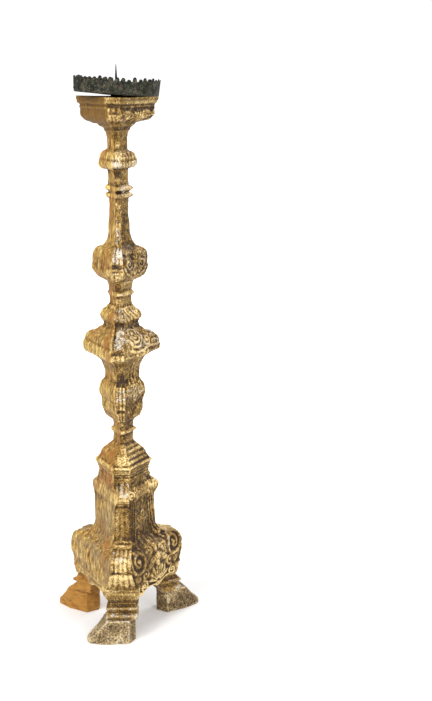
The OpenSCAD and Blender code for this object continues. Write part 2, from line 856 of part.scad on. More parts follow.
// Hoof of a foot, from its pointed inner end at the origin to its toe along +X
module hoof_form() {
    half_w = foot_w / 2;
    slope = [for (i = [0:6]) let (t = i / 6)
        [foot_len - 3 + (foot_top - foot_len + 3) * t,
            toe_h + (foot_h - toe_h) * (0.6 * t + 0.4 * (1 - cos(90 * t)))]];
    nose = [for (i = [-4:4]) let (t = 90 * i / 4)
        [foot_len - toe_round + toe_round * cos(t), toe_half * sin(t)]];
    heel_x = half_w * tan(30);
    intersection() {
        rotate([90, 0, 0]) linear_extrude(height = 2 * foot_w, center = true)
            polygon(concat([[-1, 0], [foot_len - 2, 0], [foot_len, 3], [foot_len, 0.6 * toe_h]],
                slope, [[-1, foot_h]]));
        linear_extrude(height = foot_h)
            polygon(concat([[0, 0], [heel_x, -half_w], [foot_top, -half_w]], nose,
                [[foot_top, half_w], [heel_x, half_w]]));
    }
}

module hoof(a, tone) {
    color(tone) on_axis() difference() {
        rotate([0, 0, a]) translate([heel_reach, 0, 0]) hoof_form();
        foot_dowel(a);
    }
}

// The left foot was put back askew, with its toe to the side
module askew_hoof(a, tone) {
    color(tone) on_axis() difference() {
        rotate([0, 0, a]) translate([askew_reach, 0, 0]) rotate([0, 0, left_foot_turn])
            translate([-askew_heel, 0, 0]) hoof_form();
        foot_dowel(a);
    }
}

module foot_dowels() {
    color(bare_wood) on_axis() for (a = [front, left, right]) foot_dowel(a);
}

drip_pan();
pan_rim();
rim_rivets();
pan_washer();
pricket();
top_board();
capital();
upper_shaft();
ring_collar();
pear_baluster();
middle_shaft();
cushion();
scroll_block();
lower_shaft();
back_stave();
plinth_cap();
base_core();
base_corner_block(front);  // base_corner_front
base_corner_block(left);  // base_corner_left
base_corner_block(right);  // base_corner_right
apron(plain_side, ochre, back_inset);  // apron_back
apron(left_side, gilt);  // apron_left
apron(right_side, gilt);  // apron_right
ankle(front, worn);  // ankle_front
ankle(left, worn);  // ankle_left
ankle(right, bare_wood);  // ankle_right
hoof(front, worn);  // hoof_front
askew_hoof(left, worn);  // hoof_left
hoof(right, bare_wood);  // hoof_right
stem_dowels();
foot_dowels();
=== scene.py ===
import json
import math
import bpy
import numpy as np
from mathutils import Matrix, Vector
from mathutils.bvhtree import BVHTree


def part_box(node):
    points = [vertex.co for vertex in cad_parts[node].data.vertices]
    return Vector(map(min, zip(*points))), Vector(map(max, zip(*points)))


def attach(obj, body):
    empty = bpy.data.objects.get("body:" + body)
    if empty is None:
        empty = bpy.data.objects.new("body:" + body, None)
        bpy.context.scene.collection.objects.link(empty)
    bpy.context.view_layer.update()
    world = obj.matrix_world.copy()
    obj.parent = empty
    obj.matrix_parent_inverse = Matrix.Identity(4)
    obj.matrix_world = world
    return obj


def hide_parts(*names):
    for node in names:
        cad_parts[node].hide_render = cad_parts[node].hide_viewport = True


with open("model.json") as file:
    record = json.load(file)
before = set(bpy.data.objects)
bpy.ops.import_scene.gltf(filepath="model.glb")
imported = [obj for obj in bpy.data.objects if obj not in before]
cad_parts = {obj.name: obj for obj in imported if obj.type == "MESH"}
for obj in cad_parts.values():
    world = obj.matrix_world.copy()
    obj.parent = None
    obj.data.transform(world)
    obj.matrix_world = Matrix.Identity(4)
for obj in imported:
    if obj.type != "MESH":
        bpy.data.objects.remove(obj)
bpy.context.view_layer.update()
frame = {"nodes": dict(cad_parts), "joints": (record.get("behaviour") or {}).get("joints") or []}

mm = 0.001
spikeLow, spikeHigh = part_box("pricket")
axisX = (spikeLow.x + spikeHigh.x) / 2 / mm
axisY = (spikeLow.y + spikeHigh.y) / 2 / mm
axisPoint = Vector((axisX * mm, axisY * mm, 0))


def addObject(name, data):
    thing = bpy.data.objects.new(name, data)
    bpy.context.scene.collection.objects.link(thing)
    return thing


# ---- camera ----

cameraView = {
    "fromAxis": (-1.815, 0.856, 0.994),
    "heading": -30.0,  # degrees from +X, seen from above
    "pitch": -13.6,
    "lens": 60.14,
    "sensor": 36.0,  # over the picture's long side
}


def makeCamera(view):
    data = bpy.data.cameras.new("standCamera")
    data.sensor_fit = "VERTICAL"
    data.sensor_height = view["sensor"]
    data.lens = view["lens"]
    data.clip_end = 50
    camera = addObject("standCamera", data)
    camera.location = axisPoint + Vector(view["fromAxis"])
    turn, tip = math.radians(view["heading"]), math.radians(view["pitch"])
    forward = Vector((math.cos(turn) * math.cos(tip), math.sin(turn) * math.cos(tip), math.sin(tip)))
    camera.rotation_euler = forward.to_track_quat("-Z", "Y").to_euler()
    bpy.context.scene.camera = camera


makeCamera(cameraView)
print("camera placed")


# ---- small helpers for node trees ----

def setInputs(tree, node, inputs):
    for name, value in inputs.items():
        if isinstance(value, bpy.types.NodeSocket):
            tree.links.new(value, node.inputs[name])
        else:
            node.inputs[name].default_value = value


def addNode(tree, kind, inputs=None, **settings):
    node = tree.nodes.new(kind)
    for name, value in settings.items():
        setattr(node, name, value)
    setInputs(tree, node, inputs or {})
    return node


def mathNode(tree, operation, a, b=0.0, clamp=False):
    return addNode(tree, "ShaderNodeMath", {0: a, 1: b}, operation=operation, use_clamp=clamp).outputs[0]


def sumsFor(tree):
    # the three sums that most trees need: add, subtract and multiply
    def sums(operation):
        return lambda a, b, clamp=False: mathNode(tree, operation, a, b, clamp)
    return sums("ADD"), sums("SUBTRACT"), sums("MULTIPLY")


def mixColour(tree, factor, a, b):
    # inputs 6 and 7 are the two colours, and output 2 is the mixed one
    a, b = [(*one, 1.0) if isinstance(one, tuple) else one for one in (a, b)]
    return addNode(tree, "ShaderNodeMix", {"Factor": factor, 6: a, 7: b}, data_type="RGBA").outputs[2]


def stepRamp(tree, value, low, high):
    node = addNode(tree, "ShaderNodeMapRange", {"Value": value, "From Min": low, "From Max": high},
                   interpolation_type="SMOOTHSTEP")
    return node.outputs["Result"]


def noiseNode(tree, vector, scale, detail, rough, stretch=None):
    if stretch:
        vector = addNode(tree, "ShaderNodeMapping", {"Vector": vector, "Scale": stretch}).outputs[0]
    node = addNode(tree, "ShaderNodeTexNoise",
                   {"Vector": vector, "Scale": scale, "Detail": detail, "Roughness": rough})
    return node.outputs["Fac"]


def placeNode(tree):
    return addNode(tree, "ShaderNodeTexCoord").outputs["Object"]


def addBump(tree, height, strength, distance):
    # distance in metres
    inputs = {"Height": height, "Strength": strength, "Distance": distance}
    return addNode(tree, "ShaderNodeBump", inputs).outputs[0]


# ---- shared effect: what years of rubbing, dirt and flaking leave on a surface ----

ageLook = {
    "crumbs": 420.0, "grit": 300.0, "broad": 22.0,  # sizes of the noises, as scales
    "proud": 0.17, "cloudy": 0.4,  # what relief and broad noise add to the rubbing
    "hollow": 0.36, "patchy": 0.7,  # what relief takes from the dirt, and what patches add
    "rubbedFrom": 1.6, "rubbedBy": 0.48, "rubbedEdge": (-0.03, 0.12),
    "dirtFrom": 1.24, "dirtBy": 0.6, "dirtEdge": (-0.1, 0.26),
}


def makeAgeGroup(look):
    group = bpy.data.node_groups.new("ageOfSurface", "ShaderNodeTree")
    face = group.interface
    # Relief also carries painted highlight and shade bands, which steer the rubbing and the dirt as relief
    # does
    for name, value in (("Relief", 0.0), ("Worn", 0.4), ("Dirt", 0.4), ("Patch Size", 60.0)):
        socket = face.new_socket(name, in_out="INPUT", socket_type="NodeSocketFloat")
        socket.default_value = value
    for name in ("Rubbed", "Dirt", "Tone", "Height"):
        face.new_socket(name, in_out="OUTPUT", socket_type="NodeSocketFloat")
    given = addNode(group, "NodeGroupInput").outputs
    result = addNode(group, "NodeGroupOutput")
    add, sub, mul = sumsFor(group)
    place = placeNode(group)
    patches = noiseNode(group, place, given["Patch Size"], 5.0, 0.62)
    crumbs = noiseNode(group, place, look["crumbs"], 4.0, 0.65)
    grit = noiseNode(group, place, look["grit"], 4.0, 0.65, (1.0, 1.0, 0.8))
    broad = noiseNode(group, place, look["broad"], 3.0, 0.5)
    # rubbed away in ragged patches, most of all where the carving stands proud
    proud = add(add(mul(given["Relief"], look["proud"]), patches), crumbs)
    proud = add(proud, mul(broad, look["cloudy"]))
    limit = sub(look["rubbedFrom"], mul(given["Worn"], look["rubbedBy"]))
    rubbed = stepRamp(group, sub(proud, limit), *look["rubbedEdge"])
    # dirt settles in the hollows, and as painted shade where Relief carries shade bands
    low = add(sub(grit, mul(given["Relief"], look["hollow"])), mul(patches, look["patchy"]))
    limit = sub(look["dirtFrom"], mul(given["Dirt"], look["dirtBy"]))
    dirt = stepRamp(group, sub(low, limit), *look["dirtEdge"])
    height = sub(crumbs, mul(rubbed, 0.35))
    tone = add(mul(broad, 0.4), mul(crumbs, 0.6))
    setInputs(group, result, {"Rubbed": rubbed, "Dirt": dirt, "Tone": tone, "Height": height})
    return group


ageGroup = makeAgeGroup(ageLook)


def startMaterial(name):
    material = bpy.data.materials.new(name)
    material.use_nodes = True
    tree = material.node_tree
    return material, tree, tree.nodes["Principled BSDF"]


def readAttribute(tree, name):
    return addNode(tree, "ShaderNodeAttribute", attribute_name=name).outputs["Fac"]


def ageNode(tree, dirt, patch):
    relief, worn = readAttribute(tree, "relief"), readAttribute(tree, "worn")
    inputs = {"Relief": relief, "Worn": worn, "Dirt": dirt, "Patch Size": patch}
    return relief, addNode(tree, "ShaderNodeGroup", inputs, node_tree=ageGroup).outputs


# ---- gold leaf on the carved sides, bare ochre on the plain one ----

carvedFinish = {
    "gold": ((0.085, 0.043, 0.012), (0.38, 0.225, 0.06), (1.0, 0.76, 0.36)),  # brown, gold, bright
    "gesso": (0.86, 0.78, 0.62), "greyGesso": (0.36, 0.28, 0.19), "bole": (0.17, 0.085, 0.045),
    "dirt": (0.038, 0.022, 0.014), "dirtAmount": 0.5, "patch": 85.0,
    "metal": 0.62, "rough": 0.32, "specular": 0.28, "bump": (0.8, 0.0016),
    "streaks": 230.0, "wide": 30.0, "tint": 17.0,  # sizes of the noises on the plain side
    "ochre": ((0.12, 0.056, 0.014), (0.50, 0.285, 0.062), (0.95, 0.72, 0.26)),  # dark, ochre, light
    "ochreOrange": (0.46, 0.17, 0.028), "ochreGrey": (0.25, 0.205, 0.155),
    "ochreShade": (0.20, 0.092, 0.010),
}


def threeTones(tree, value, low, high, tones):
    middle = (low + high) / 2
    colour = mixColour(tree, stepRamp(tree, value, low, middle), tones[0], tones[1])
    return mixColour(tree, stepRamp(tree, value, middle, high), colour, tones[2])


def goldColour(tree, look, relief, age):
    # leaf, painted brighter on raised parts and darker in hollows as highlight and shade, red bole at the
    # rubbed edges, gesso where the leaf is gone, and dirt over all
    add, sub, mul = sumsFor(tree)
    # relief lifts the tone on raised parts and drops it in hollows: painted highlight and shade
    gold = threeTones(tree, add(age["Tone"], mul(relief, 0.2)), 0.37, 0.62, look["gold"])
    edge = mul(age["Rubbed"], sub(1.0, age["Rubbed"]))
    gold = mixColour(tree, mul(edge, 3.2, True), gold, look["bole"])
    gesso = mixColour(tree, stepRamp(tree, age["Tone"], 0.38, 0.58), look["greyGesso"], look["gesso"])
    gold = mixColour(tree, age["Rubbed"], gold, gesso)
    return mixColour(tree, age["Dirt"], gold, look["dirt"])


def ochreColour(tree, look, relief, age, place, streaks):
    # chisel marks and orange patches, grey stains near the foot, and a painted shadow of the pan in brown
    # near the top
    add, _, mul = sumsFor(tree)
    wide = noiseNode(tree, place, look["wide"], 5.0, 0.65, (1.0, 1.0, 0.5))
    tint = noiseNode(tree, place, look["tint"], 5.0, 0.7)
    # chisel streaks and random tone, plus the relief term as painted highlight on proud mouldings and
    # painted shade in hollows
    chipsAndShading = add(add(mul(streaks, 0.6), mul(age["Tone"], 0.4)), mul(relief, 0.2))
    wood = threeTones(tree, chipsAndShading, 0.40, 0.62, look["ochre"])
    wood = mixColour(tree, mul(stepRamp(tree, wide, 0.5, 0.66), 0.7), wood, look["ochreOrange"])
    stainAndShade = readAttribute(tree, "worn")
    grey = mul(stepRamp(tree, tint, 0.42, 0.62), stainAndShade, True)
    wood = mixColour(tree, grey, wood, look["ochreGrey"])
    # painted shadow of the pan: where the value is below 0 the wood goes to the brown shade colour
    wood = mixColour(tree, mul(stainAndShade, -1.0, True), wood, look["ochreShade"])
    return mixColour(tree, mul(age["Dirt"], 0.55), wood, look["dirt"])


def carvedMaterial(name, look):
    # the attribute "plain" turns the gold into bare ochre
    material, tree, shader = startMaterial(name)
    add, sub, mul = sumsFor(tree)
    relief, age = ageNode(tree, look["dirtAmount"], look["patch"])
    plain = readAttribute(tree, "plain")
    place = placeNode(tree)
    streaks = noiseNode(tree, place, look["streaks"], 5.0, 0.68, (1.0, 1.0, 0.3))
    gold = goldColour(tree, look, relief, age)
    wood = ochreColour(tree, look, relief, age, place, streaks)
    sheen = mul(sub(1.0, age["Rubbed"]), sub(1.0, age["Dirt"]))
    sheen = mul(sheen, sub(1.0, mul(plain, 0.7)))
    height = add(age["Height"], mul(streaks, mul(plain, 2.4)))
    setInputs(tree, shader, {
        "Base Color": mixColour(tree, plain, gold, wood), "Metallic": mul(sheen, look["metal"]),
        "Roughness": add(add(look["rough"], mul(age["Tone"], 0.25)), mul(plain, 0.02), True),
        "Specular IOR Level": look["specular"], "Normal": addBump(tree, height, *look["bump"]),
    })
    return material


# ---- bare wood of the new foot and the dowels ----

woodFinish = {
    "light": (0.52, 0.25, 0.045), "dark": (0.27, 0.11, 0.018), "dirt": (0.06, 0.03, 0.012),
    "dirtAmount": 0.35, "patch": 50.0, "grain": 190.0, "cloud": 34.0, "specular": 0.3,
    "bump": (0.4, 0.0008),
}


def bareWoodMaterial(name, look):
    material, tree, shader = startMaterial(name)
    add, _, mul = sumsFor(tree)
    relief, age = ageNode(tree, look["dirtAmount"], look["patch"])
    place = placeNode(tree)
    grain = noiseNode(tree, place, look["grain"], 5.0, 0.6, (0.3, 0.3, 1.0))
    cloud = noiseNode(tree, place, look["cloud"], 3.0, 0.5)
    colour = mixColour(tree, stepRamp(tree, grain, 0.35, 0.62), look["dark"], look["light"])
    colour = mixColour(tree, mul(stepRamp(tree, cloud, 0.4, 0.6), 0.6), colour, look["light"])
    colour = mixColour(tree, mul(stepRamp(tree, relief, 0.1, 0.7), 0.5), colour, look["light"])
    colour = mixColour(tree, mul(age["Dirt"], 0.8), colour, look["dirt"])
    setInputs(tree, shader, {
        "Base Color": colour, "Roughness": add(0.45, mul(grain, 0.3)),
        "Specular IOR Level": look["specular"], "Normal": addBump(tree, grain, *look["bump"]),
    })
    return material


# ---- old sheet metal and iron ----

metalFinish = {
    "dark": (0.013, 0.015, 0.011), "green": (0.036, 0.042, 0.025), "brown": (0.072, 0.050, 0.034),
    "grey": (0.165, 0.152, 0.10), "cloud": 80.0, "rust": 150.0, "speck": 330.0, "speckFrom": 0.585,
    "metal": 0.8, "specular": 0.35, "bump": (0.6, 0.001),
}


def oldMetalMaterial(name, look):
    material, tree, shader = startMaterial(name)
    add, _, mul = sumsFor(tree)
    place = placeNode(tree)
    cloud = noiseNode(tree, place, look["cloud"], 5.0, 0.68)
    rust = noiseNode(tree, place, look["rust"], 5.0, 0.7)
    speck = noiseNode(tree, place, look["speck"], 4.0, 0.65)
    colour = mixColour(tree, stepRamp(tree, cloud, 0.40, 0.60), look["dark"], look["green"])
    colour = mixColour(tree, stepRamp(tree, rust, 0.50, 0.62), colour, look["brown"])
    dusty = stepRamp(tree, add(mul(speck, 0.75), mul(cloud, 0.25)), look["speckFrom"] - 0.07,
                     look["speckFrom"] + 0.08)
    setInputs(tree, shader, {
        "Base Color": mixColour(tree, dusty, colour, look["grey"]),
        "Metallic": mul(stepRamp(tree, rust, 0.75, 0.3), look["metal"]),
        "Roughness": add(0.34, mul(rust, 0.4)), "Specular IOR Level": look["specular"],
        "Normal": addBump(tree, add(rust, speck), *look["bump"]),
    })
    return material


giltCarving = carvedMaterial("giltCarving", carvedFinish)
giltFoot = carvedMaterial("giltFoot", {
    **carvedFinish, "gold": ((0.045, 0.028, 0.015), (0.33, 0.225, 0.10), (0.92, 0.74, 0.44)),
    "dirtAmount": 0.6, "patch": 110.0, "metal": 0.35, "rough": 0.42,
})
bareWood = bareWoodMaterial("bareWood", woodFinish)
agedSheet = oldMetalMaterial("agedSheet", metalFinish)
darkIron = oldMetalMaterial("darkIron", {
    **metalFinish, "green": (0.02, 0.019, 0.018), "brown": (0.035, 0.025, 0.02),
    "speckFrom": 0.7, "metal": 0.2, "specular": 0.15,
})
print("materials made")


# ---- smooth noise in space, for unevenness that is modelled and not painted ----

def latticeValue(ix, iy, iz, seed):
    # mixes the bits of a corner's place into a value from -1 to 1
    h = (ix * 374761393 + iy * 668265263 + iz * 2147483647 + seed * 144665) & 0xFFFFFFFF
    h = ((h ^ (h >> 13)) * 1274126177) & 0xFFFFFFFF
    return ((h ^ (h >> 16)) & 0xFFFF) / 32767.5 - 1.0


def smoothNoise(points, size, seed):
    # points in mm, one hill or dip for every "size" mm
    p = points / size
    cell = np.floor(p).astype(np.int64)
    f = p - cell
    f = f * f * (3 - 2 * f)
    total = 0.0
    for dx in (0, 1):
        for dy in (0, 1):
            for dz in (0, 1):
                weight = (f[..., 0] if dx else 1 - f[..., 0]) * (f[..., 1] if dy else 1 - f[..., 1])
                weight = weight * (f[..., 2] if dz else 1 - f[..., 2])
                corner = latticeValue(cell[..., 0] + dx, cell[..., 1] + dy, cell[..., 2] + dz, seed)
                total = total + weight * corner
    return total


def blurRows(grid, sigma, axis, wrap):
    reach = max(1, int(3 * sigma))
    weights = np.exp(-0.5 * (np.arange(-reach, reach + 1) / sigma) ** 2)
    weights /= weights.sum()
    pad = [(0, 0)] * grid.ndim
    pad[axis] = (reach, reach)
    padded = np.pad(grid, pad, mode="wrap" if wrap else "edge")
    out = np.zeros_like(grid)
    for i, w in enumerate(weights):
        index = [slice(None)] * grid.ndim
        index[axis] = slice(i, i + grid.shape[axis])
        out += w * padded[tuple(index)]
    return out


def blurBoth(grid, sigma):
    # round the block and up it
    return blurRows(blurRows(grid, sigma, 1, True), sigma, 0, False)


def atHeight(table, z):
    # a table holds pairs of height in mm and value
    return np.interp(z, [row[0] for row in table], [row[1] for row in table])


# ---- carving tools ----
# Each tool gives a function of a spot on the surface, which returns heights from 0 to about
# "proud". A spot has x across and z up, in mm, the same two with the sway of a hand, and half the
# width that the region has there.

def spotAt(x, z, half, sway=(0, 0)):
    return {"x": x, "z": z, "half": half, "swayX": x + sway[0], "swayZ": z + sway[1]}


def dome(d):
    return np.sqrt(np.clip(1 - d * d, 0, None))


def band(at, size, proud=1.0):
    return lambda spot: proud * dome((spot["z"] - at) / (size / 2))


def rib(path, wide, narrow, proud=1.0):
    # rounded rib along a path that goes from wide to narrow
    points = np.array(path, float)
    steps = np.linspace(0, len(points) - 1, 14 * (len(points) - 1) + 1)
    px = np.interp(steps, range(len(points)), points[:, 0])
    pz = np.interp(steps, range(len(points)), points[:, 1])

    def heights(spot):
        nearest = np.full(spot["x"].shape, 9.0)
        for i, (ax, az) in enumerate(zip(px, pz)):
            radius = wide + (narrow - wide) * i / (len(px) - 1)
            nearest = np.minimum(nearest, np.hypot(spot["swayX"] - ax, spot["swayZ"] - az) / radius)
        return proud * dome(nearest)
    return heights


def volute(at, size, turns, start, thick, spin=1, proud=1.0):
    # rib wound into a spiral, with a button in its eye
    t = np.linspace(0, 1, int(14 * turns) + 2)
    angle = math.radians(start) + spin * 2 * math.pi * turns * t
    reach = size * (1 - t) ** 0.85 + 0.16 * size
    path = np.stack([at[0] + reach * np.cos(angle), at[1] + reach * np.sin(angle)], 1)
    spiral = rib(path, thick * size, thick * size * 0.6)

    def heights(spot):
        fromEye = np.hypot(spot["swayX"] - at[0], spot["swayZ"] - at[1])
        return proud * np.maximum(spiral(spot), 1.1 * dome(fromEye / (0.24 * size)))
    return heights


def leaf(at, angle, length, width, points, proud=1.0):
    a = math.radians(angle)

    def heights(spot):
        dx, dz = spot["swayX"] - at[0], spot["swayZ"] - at[1]
        u = (dx * math.cos(a) + dz * math.sin(a)) / length
        v = np.abs(-dx * math.sin(a) + dz * math.cos(a)) / (width / 2)
        uc = np.clip(u, 0.001, 0.999)
        notches = 0.78 + 0.22 * np.abs(np.cos(points * math.pi * (uc - 0.2 * v)))
        edge = np.sin(math.pi * uc ** 0.8) ** 0.7 * notches
        inside = (u > 0) & (u < 1) & (v < edge)
        body = np.sqrt(np.clip(1 - (v / np.maximum(edge, 0.01)) ** 2, 0, 1))
        veins = 0.16 * np.cos(2 * math.pi * points * (uc - 0.3 * v))
        groove = 0.3 * np.exp(-(v / 0.14) ** 2)
        return proud * np.where(inside, 0.25 + 0.6 * body + veins * body - groove, 0)
    return heights


def fan(at, inner, outer, start, end, flutes, proud=1.0):
    def heights(spot):
        dx, dz = spot["swayX"] - at[0], spot["swayZ"] - at[1]
        reach = np.hypot(dx, dz)
        turn = (np.degrees(np.arctan2(dz, dx)) - start) % 360
        span = (end - start) % 360
        wave = np.abs(np.sin(math.pi * flutes * turn / span))
        rim = outer * (0.88 + 0.12 * wave)
        inside = (turn < span) & (reach > inner) & (reach < rim)
        fade = np.clip((rim - reach) / (0.12 * outer), 0, 1) ** 0.5
        return proud * np.where(inside, (0.3 + 0.7 * wave ** 0.7) * fade, 0)
    return heights


def lobes(low, high, count, x0=-1, x1=1, slant=0.0, roundLow=True, roundHigh=True, proud=1.0):
    # upright half-round lobes side by side; x0 and x1 are shares of the half width
    def heights(spot):
        left, right = x0 * spot["half"], x1 * spot["half"]
        across = (spot["x"] - left + slant * (spot["z"] - low)) / (right - left) * count
        radius = np.abs(right - left) / count / 2
        a = (across - np.floor(across)) * 2 - 1
        inside = (across > 0) & (across < count) & (spot["z"] > low) & (spot["z"] < high)
        below = np.clip(low + radius - spot["z"], 0, None) / radius if roundLow else 0
        above = np.clip(spot["z"] - high + radius, 0, None) / radius if roundHigh else 0
        return proud * np.where(inside, dome(np.sqrt(a * a + below * below + above * above)), 0)
    return heights


def mirror(tool):
    return lambda spot: tool({**spot, "swayX": np.abs(spot["swayX"])})


def carve(tools, spot):
    # the highest of all tools at each spot
    height = np.zeros_like(spot["x"])
    for tool in tools:
        height = np.maximum(height, tool(spot))
    return height


# ---- three-cornered block: a grid laid on the frame's own outline ----

cornerTurns = (-90, 30, 150)
sideTurns = (-30, 90, 210)  # the side after each corner
plainTurn = 90
onStrip, onSide, onPlain = 0, 1, 2
sineSixty = math.sin(math.radians(60))


def solidTree(node):
    mesh = frame["nodes"][node].data
    mesh.calc_loop_triangles()
    spots = [v.co / mm for v in mesh.vertices]
    return BVHTree.FromPolygons(spots, [t.vertices for t in mesh.loop_triangles])


def castOutline(nodes, low, high, step):
    # distances of corners, carved sides and plain back from the axis, at even steps of the outline
    trees = [solidTree(node) for node in nodes]

    def reach(turn, z):
        a = math.radians(turn)
        out = Vector((math.cos(a), math.sin(a), 0))
        start = Vector((axisX, axisY, z)) + out * 200
        hits = [t.ray_cast(start, -out, 200)[3] for t in trees]
        return 200 - min(h for h in hits if h is not None)

    heights = np.arange(low + 0.05, high - 0.04, 0.3)
    corner = np.array([reach(-90.01, z) for z in heights])
    side = np.array([reach(-30, z) for z in heights])
    back = np.array([reach(plainTurn, z) for z in heights])
    # where the middle of a carved side is cut away, the plain back tells how far out the side was
    side = np.maximum(side, back + side[0] - back[0])
    length = np.concatenate([[0], np.cumsum(np.hypot(np.diff(heights), np.diff(corner)))])
    even = np.linspace(0, length[-1], max(8, int(length[-1] / step)))
    heights[0], heights[-1] = low, high
    return [np.interp(even, length, row) for row in (heights, corner, side, back)]


def fromAxis(turn, out, along):
    a = math.radians(turn)
    return np.stack([out * math.cos(a) - along * math.sin(a), out * math.sin(a) + along * math.cos(a)], -1)


def layColumns(corner, side, back, step):
    # once round the block: a corner strip and the side after it, three times; each column keeps
    # its place across, half the width there, how near the edge is, and which region it is in
    strip = np.maximum((side - corner / 2) / sineSixty, 1.5)
    backStrip = np.clip((back - corner / 2) / sineSixty, -strip + 0.6, strip)
    stripColumns = max(6, int(strip.max() * 2 / step))
    sideColumns = max(6, int((side.max() * math.sqrt(3)) * 2 / step * 0.62))
    before = [-(backStrip if turn == 150 else strip) for turn in cornerTurns]
    after = [backStrip if turn == 30 else strip for turn in cornerTurns]
    columns = []
    for i, turn in enumerate(cornerTurns):
        for k in range(stripColumns):
            across = before[i] + (after[i] - before[i]) * k / stripColumns
            nearEdge = (after[i] - before[i]) * min(k, stripColumns - k) / stripColumns
            columns.append((fromAxis(turn, corner, across), across, strip, nearEdge, onStrip))
        nextOne = (i + 1) % 3
        first = fromAxis(turn, corner, after[i])
        last = fromAxis(cornerTurns[nextOne], corner, before[nextOne])
        half = np.linalg.norm(last - first, axis=1) / 2
        kind = onPlain if sideTurns[i] == plainTurn else onSide
        a = math.radians(sideTurns[i])
        for k in range(sideColumns):
            p = first + (last - first) * k / sideColumns
            across = -p[:, 0] * math.sin(a) + p[:, 1] * math.cos(a)
            nearEdge = half * 2 * min(k, sideColumns - k) / sideColumns
            columns.append((p, across, half, nearEdge, kind))
    xy, across, half, nearEdge, region = zip(*columns)
    return np.stack(xy, 1), {"across": np.stack(across, 1), "half": np.stack(half, 1),
                             "nearEdge": np.stack(nearEdge, 1), "region": np.array(region)}


def softSurface(xy, height, soften):
    # blurred points of the block, and which way is out of it; the end rows stay
    points = np.concatenate([xy, height[..., None]], -1)
    points = blurRows(points, soften, 1, True)
    inner = blurRows(points, soften, 0, False)
    points[2:-2] = inner[2:-2]
    along = np.roll(points, -1, 1) - np.roll(points, 1, 1)
    normal = np.cross(along, np.gradient(points, axis=0))
    normal /= np.maximum(np.linalg.norm(normal, axis=-1, keepdims=True), 1e-6)
    return points, blurRows(normal, 1.0, 1, True)


def addValues(mesh, values):
    for title, numbers in values.items():
        attribute = mesh.attributes.new(title, "FLOAT", "POINT")
        attribute.data.foreach_set("value", np.asarray(numbers, np.float32))


def shadeSmooth(mesh, material):
    mesh.polygons.foreach_set("use_smooth", [True] * len(mesh.polygons))
    mesh.materials.append(material)
    mesh.update()


def gridMesh(name, points, values, material):
    rows, columns = points.shape[:2]
    index = np.arange(rows * columns).reshape(rows, columns)
    right = np.roll(index, -1, 1)
    quads = np.stack([index[:-1], right[:-1], right[1:], index[1:]], -1).reshape(-1, 4)
    centres = np.array([points[0].mean(0), points[-1].mean(0)])
    bottom = np.stack([right[0], index[0], np.full(columns, rows * columns)], -1)
    top = np.stack([index[-1], right[-1], np.full(columns, rows * columns + 1)], -1)
    mesh = bpy.data.meshes.new(name)
    allSpots = np.concatenate([points.reshape(-1, 3), centres]) * mm
    mesh.from_pydata(allSpots.tolist(), [], quads.tolist() + bottom.tolist() + top.tolist())
    addValues(mesh, {title: np.concatenate([v.reshape(-1), [0, 0]]) for title, v in values.items()})
    shadeSmooth(mesh, material)
    return addObject(name, mesh)


# ---- what happens to the stand by height, as pairs of mm and amount ----

# how far the gilding is rubbed off, on corner strips and on carved sides
wornStrip = (
    (0, 0.5), (103, 0.0), (132, 0.0), (138, 0.2), (150, 0.55), (163, 0.6), (168, 0.1), (175, 0.2),
    (182, 0.5), (236, 0.4), (242, 0.3), (256, 0.35), (262, 0.7), (280, 0.7), (284, 0.1), (300, 0.15),
    (310, 0.0), (336, 0.0), (345, 0.4), (360, 0.6), (367, 0.5), (375, 0.1), (404, 0.0), (412, 0.1),
    (422, 0.3), (430, 0.9), (446, 0.8), (452, 0.0), (500, 0.1), (515, 0.3), (523, 0.5), (530, 0.95),
    (556, 0.9), (562, 0.1), (568, 0.9), (590, 0.8), (600, 0.2), (613, 0.6), (622, 0.3), (640, 0.2),
    (650, 0.2), (657, 0.6), (662, 0.2), (668, 0.4), (675, 0.95), (700, 0.85), (725, 0.7), (745, 0.3),
    (770, 0.3), (777, 0.5), (784, 0.75), (789, 0.2), (796, 0.8), (803, 0.5), (812, 0.7), (818, 0.2),
    (828, 0.9), (842, 0.95), (848, 0.5), (885, 0.4), (900, 0.3), (925, 0.1), (950, 0.15),
)
wornSide = (
    (0, 0.3), (103, 0.2), (115, 0.25), (140, 0.4), (170, 0.45), (225, 0.4), (245, 0.2), (283, 0.15),
    (300, 0.1), (315, 0.35), (345, 0.35), (365, 0.3), (395, 0.2), (415, 0.25), (430, 0.7), (446, 0.75),
    (455, 0.2), (500, 0.2), (512, 0.5), (556, 0.75), (565, 0.4), (580, 0.45), (600, 0.3), (640, 0.3),
    (650, 0.6), (690, 0.65), (700, 0.2), (770, 0.2), (778, 0.6), (800, 0.75), (806, 0.3), (828, 0.6),
    (845, 0.55), (860, 0.3), (895, 0.3), (905, 0.2), (950, 0.15),
)
# how far the plain board stands out past the frame's flat one, in mm
plainSwell = (
    (103, 0.0), (120, 0.8), (230, 1.6), (345, 0.8), (480, 0.8), (500, 2.0), (520, 2.4), (555, 1.0),
    (600, 0.8), (640, 1.6), (700, 0.8), (760, 0.6), (800, 1.6), (850, 0.8), (870, 2.2), (905, 2.8),
    (950, 2.6),
)
# on the plain side: above 0 grey stains, below 0 brown painted shade, strongest in the pan's shadow at the
# top
plainStainsAndShade = (
    (0, 0.3), (103, 0.5), (200, 0.4), (275, 0.2), (300, 0.0), (345, -0.15), (480, -0.05), (520, 0.05),
    (700, 0.0), (880, 0.0), (905, -0.9), (930, -0.8), (950, -0.95),
)


# ---- carving a block ----
# A plan gives the tools for corner strip, carved side and plain side, the cut's depth in mm for
# strip and side, and three tables by height: ground is how full the ground between the tools
# stays, the strip's table is painted shade in its grooves and under its mouldings, with painted
# highlight below 0, and the carved side's table is how much darker the carved side is made.

